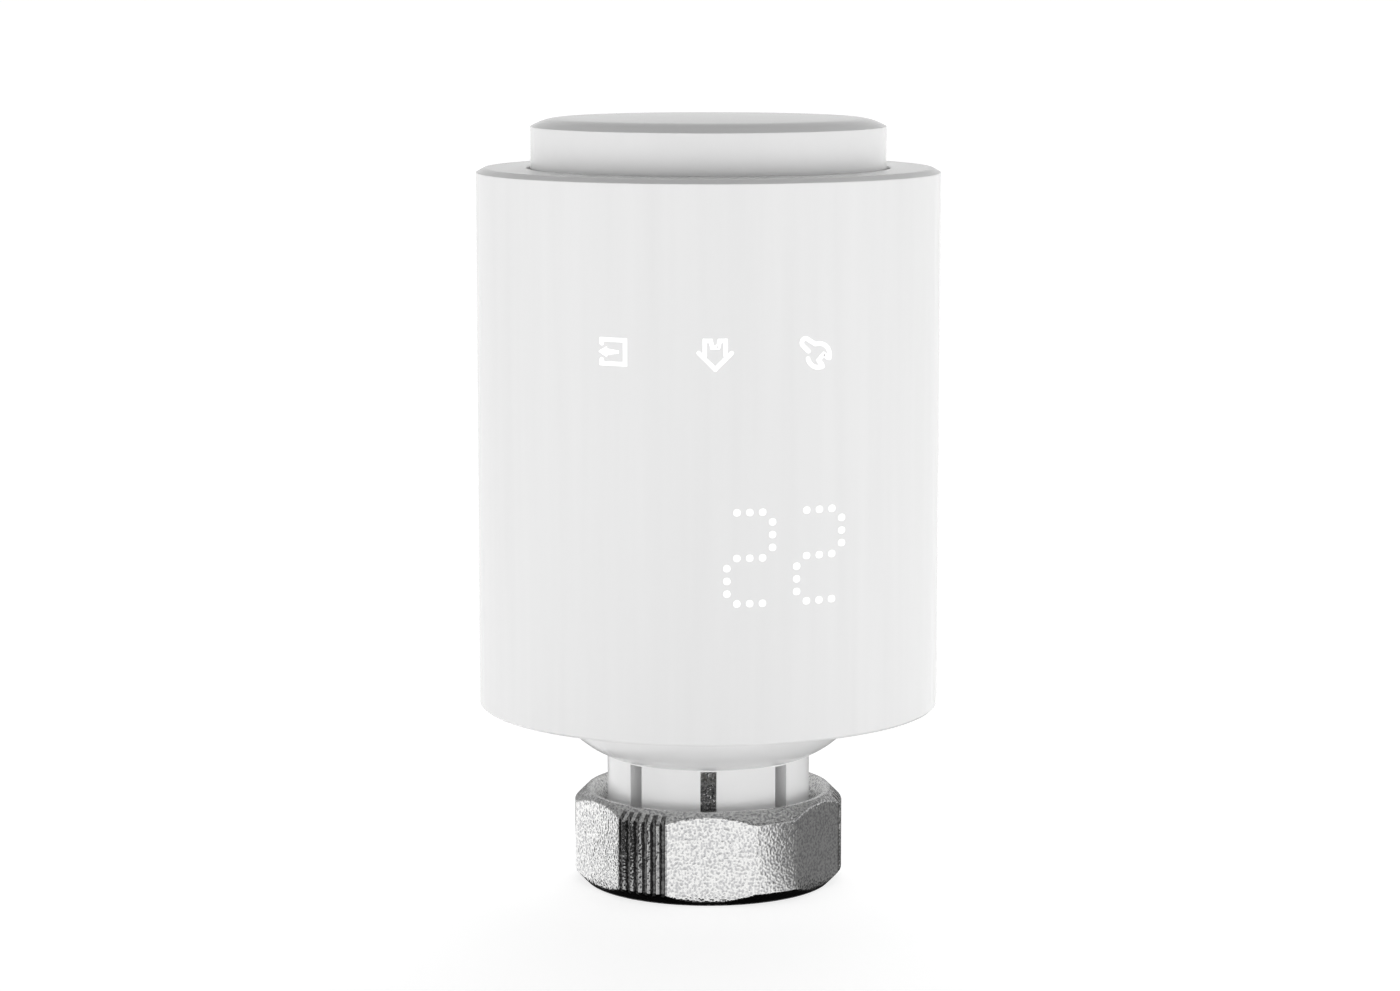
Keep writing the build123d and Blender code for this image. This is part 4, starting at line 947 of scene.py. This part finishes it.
# Floor. The head stands on a wide white floor that glows like a light table. The glow on the object is
# stronger at a low slant, dimmer behind, and weaker close to the nut, where the head shades the floor.
floor_half = 40.0
floor_white = (0.40, 0.40, 0.40)
floor_glow = 0.80
low_bounce = 2.12
steep_bounce = 0.38
low_slant = 0.76
steep_slant = 0.47
bounce_behind = 0.1
behind_far = 200 * mm
shade_share = 0.3
shade_near = 22 * mm
shade_far = 95 * mm
floor_paint = bpy.data.materials.new("floor_paint")
floor_paint.use_nodes = True
paint = floor_paint.node_tree
paint.nodes.clear()
lit_top = add(paint, "BsdfDiffuse", {"Color": (*floor_white, 1)}).outputs["BSDF"]
spot = add(paint, "TexCoord").outputs["Object"]
reach = add(paint, "VectorMath", {0: spot}, operation="LENGTH").outputs["Value"]
shaded = ranged(paint, reach, shade_share, 1.0, shade_near, shade_far)
slant = add(paint, "LayerWeight", {"Blend": 0.5}).outputs["Facing"]
slanted = ranged(paint, slant, steep_bounce, low_bounce, steep_slant, low_slant)
depth = add(paint, "SeparateXYZ", {"Vector": spot}).outputs["Y"]
behind = ranged(paint, depth, 1.0, bounce_behind, 0.0, behind_far)
bounce = figured(paint, "MULTIPLY", figured(paint, "MULTIPLY", shaded, slanted), behind)
bounced = add(paint, "LightPath").outputs["Is Diffuse Ray"]
glow = add(paint, "Mix", {"Factor": bounced, "A": floor_glow, "B": bounce}).outputs["Result"]
lit_below = add(paint, "Emission", {"Color": (1, 1, 1, 1), "Strength": glow}).outputs["Emission"]
light_table = add(paint, "AddShader", {0: lit_top, 1: lit_below}).outputs["Shader"]
add(paint, "OutputMaterial", {"Surface": light_table})
floor_corners = np.array([(-1, -1, 0), (1, -1, 0), (1, 1, 0), (-1, 1, 0)]) * floor_half
floor_mesh = bpy.data.meshes.new("floor")
floor_mesh.from_pydata(floor_corners.tolist(), [], [(0, 1, 2, 3)])
floor_mesh.materials.append(floor_paint)
floor = bpy.data.objects.new("floor", floor_mesh)
bpy.context.scene.collection.objects.link(floor)


# Cards. Bent grey cards stand round the nut and a dark one lies under it as a painted shadow of the
# floor, seen only in mirrored light.
# They give the plated flats their dark and light sides. Each is given by its first and last angle, the
# degrees over which it fades in, and its level.
right_card = (-61, 64, 26, 0.17)
back_card = (104, 131, 4, 0.17)
left_card = (232, 181, 10, 0.05)
# The foot card is a painted shadow: the nut's own shadow on the floor, as its lower chamfer mirrors it.
foot_shadow_card = (0, 360, 1, 0.02)
right_near = 10 * mm
left_near = 26 * mm
card_far = 42 * mm
card_heights = np.array([0.1, 0.1, 13]) * mm
card_columns = 64
foot_radius = 17.6 * mm
foot_rows = np.array([0.2, 0.6, 1.0]) * foot_radius
foot_heights = np.full(3, 0.15 * mm)
tent_shown = 1.0
card_face = bpy.data.materials.new("flag_and_shadow_card")
card_face.use_nodes = True
face = card_face.node_tree
face.nodes.clear()
card_glow = add(face, "Attribute", attribute_name="level").outputs["Fac"]
card_light = add(face, "Emission", {"Color": (1, 1, 1, 1), "Strength": card_glow}).outputs["Emission"]
add(face, "OutputMaterial", {"Surface": card_light})
right_rows = np.array([right_near, card_far, card_far])
left_rows = np.array([left_near, card_far, card_far])
cards = {
    "right_flag": (right_card, right_rows, card_heights),
    "back_flag": (back_card, right_rows, card_heights),
    "left_flag": (left_card, left_rows, card_heights),
    "foot_shadow_card": (foot_shadow_card, foot_rows, foot_heights),
}
for card_name, ((first, last, fade, dark_level), reaches, heights) in cards.items():
    turn = np.linspace(first, last, card_columns)
    strip = turned(np.radians(turn)[None, :], reaches[:, None], heights[:, None])
    index = np.arange(3 * card_columns).reshape(3, card_columns)
    below, above = index[:-1], index[1:]
    faces = np.stack([below[:, :-1], below[:, 1:], above[:, 1:], above[:, :-1]], axis=-1)
    card_mesh = bpy.data.meshes.new(card_name)
    card_mesh.from_pydata(strip.reshape(-1, 3).tolist(), [], faces.reshape(-1, 4).tolist())
    levels = np.interp(np.abs(turn - first), [0, fade], [tent_shown, dark_level])
    card_level = card_mesh.attributes.new("level", "FLOAT", "POINT")
    card_level.data.foreach_set("value", np.tile(levels, 3).astype(np.float32))
    card_mesh.materials.append(card_face)
    card = bpy.data.objects.new(card_name, card_mesh)
    bpy.context.scene.collection.objects.link(card)
    card.visible_camera = False
    card.visible_diffuse = False
    card.visible_transmission = False
    card.visible_shadow = False


# Light tent. A white tent all round, bright low down and dim above, brighter at the sides than behind.
# One soft light from behind and above reaches matt surfaces only; the bare tent shows as plain white.
tent_low = 0.75
tent_behind = 0.05
tent_sides = 2.5
back_light = 3.8
back_spread = 8.0
back_way = (0.074, 0.845, 0.530)
tent = bpy.data.worlds.new("tent")
bpy.context.scene.world = tent
tent.use_nodes = True
sky = tent.node_tree
sky.nodes.clear()
way = add(sky, "TexCoord").outputs["Generated"]
ray = add(sky, "LightPath").outputs
parts = add(sky, "SeparateXYZ", {"Vector": way}).outputs
dimming = figured(sky, "POWER", figured(sky, "SUBTRACT", 1.0, parts["Z"], use_clamp=True), 2.0)
low_level = ranged(sky, parts["Y"], tent_low, tent_low * tent_behind)
sides = figured(sky, "MULTIPLY_ADD", figured(sky, "POWER", parts["X"], 2.0), tent_sides, 1.0)
low_light = figured(sky, "MULTIPLY", figured(sky, "MULTIPLY", dimming, low_level), sides)
facing = add(sky, "VectorMath", {0: way, 1: back_way}, operation="DOT_PRODUCT").outputs["Value"]
lobe = figured(sky, "POWER", figured(sky, "MAXIMUM", facing, 0.0), back_spread)
plain = figured(sky, "MULTIPLY_ADD", lobe, back_light, low_light)
mirrored = figured(sky, "MULTIPLY", dimming, tent_shown)
strength = add(sky, "Mix", {"Factor": ray["Is Glossy Ray"], "A": plain, "B": mirrored}).outputs["Result"]
soft = add(sky, "Background", {"Color": (1, 1, 1, 1), "Strength": strength}).outputs["Background"]
white = add(sky, "Background", {"Color": (1, 1, 1, 1), "Strength": tent_shown}).outputs["Background"]
direct = figured(sky, "MAXIMUM", ray["Is Camera Ray"], ray["Is Transmission Ray"])
shown = add(sky, "MixShader", {0: direct, 1: soft, 2: white}).outputs["Shader"]
add(sky, "OutputWorld", {"Surface": shown})


# Camera. A long lens a little above the knob looks slightly down, as in the photograph.
# It stands straight in front, so that the tube's sides stay nearly upright.
camera_place = (-1.05 * mm, -466.5 * mm, 114.2 * mm)
camera_pitch = radians(82.07)
camera_lens = 95.9
camera_sensor = 36.0
camera_data = bpy.data.cameras.new("camera")
camera_data.lens = camera_lens
camera_data.sensor_width = camera_sensor
camera = bpy.data.objects.new("camera", camera_data)
camera.location = camera_place
camera.rotation_euler = (camera_pitch, 0, 0)
bpy.context.scene.collection.objects.link(camera)
bpy.context.scene.camera = camera
bpy.context.scene.view_settings.view_transform = "Standard"
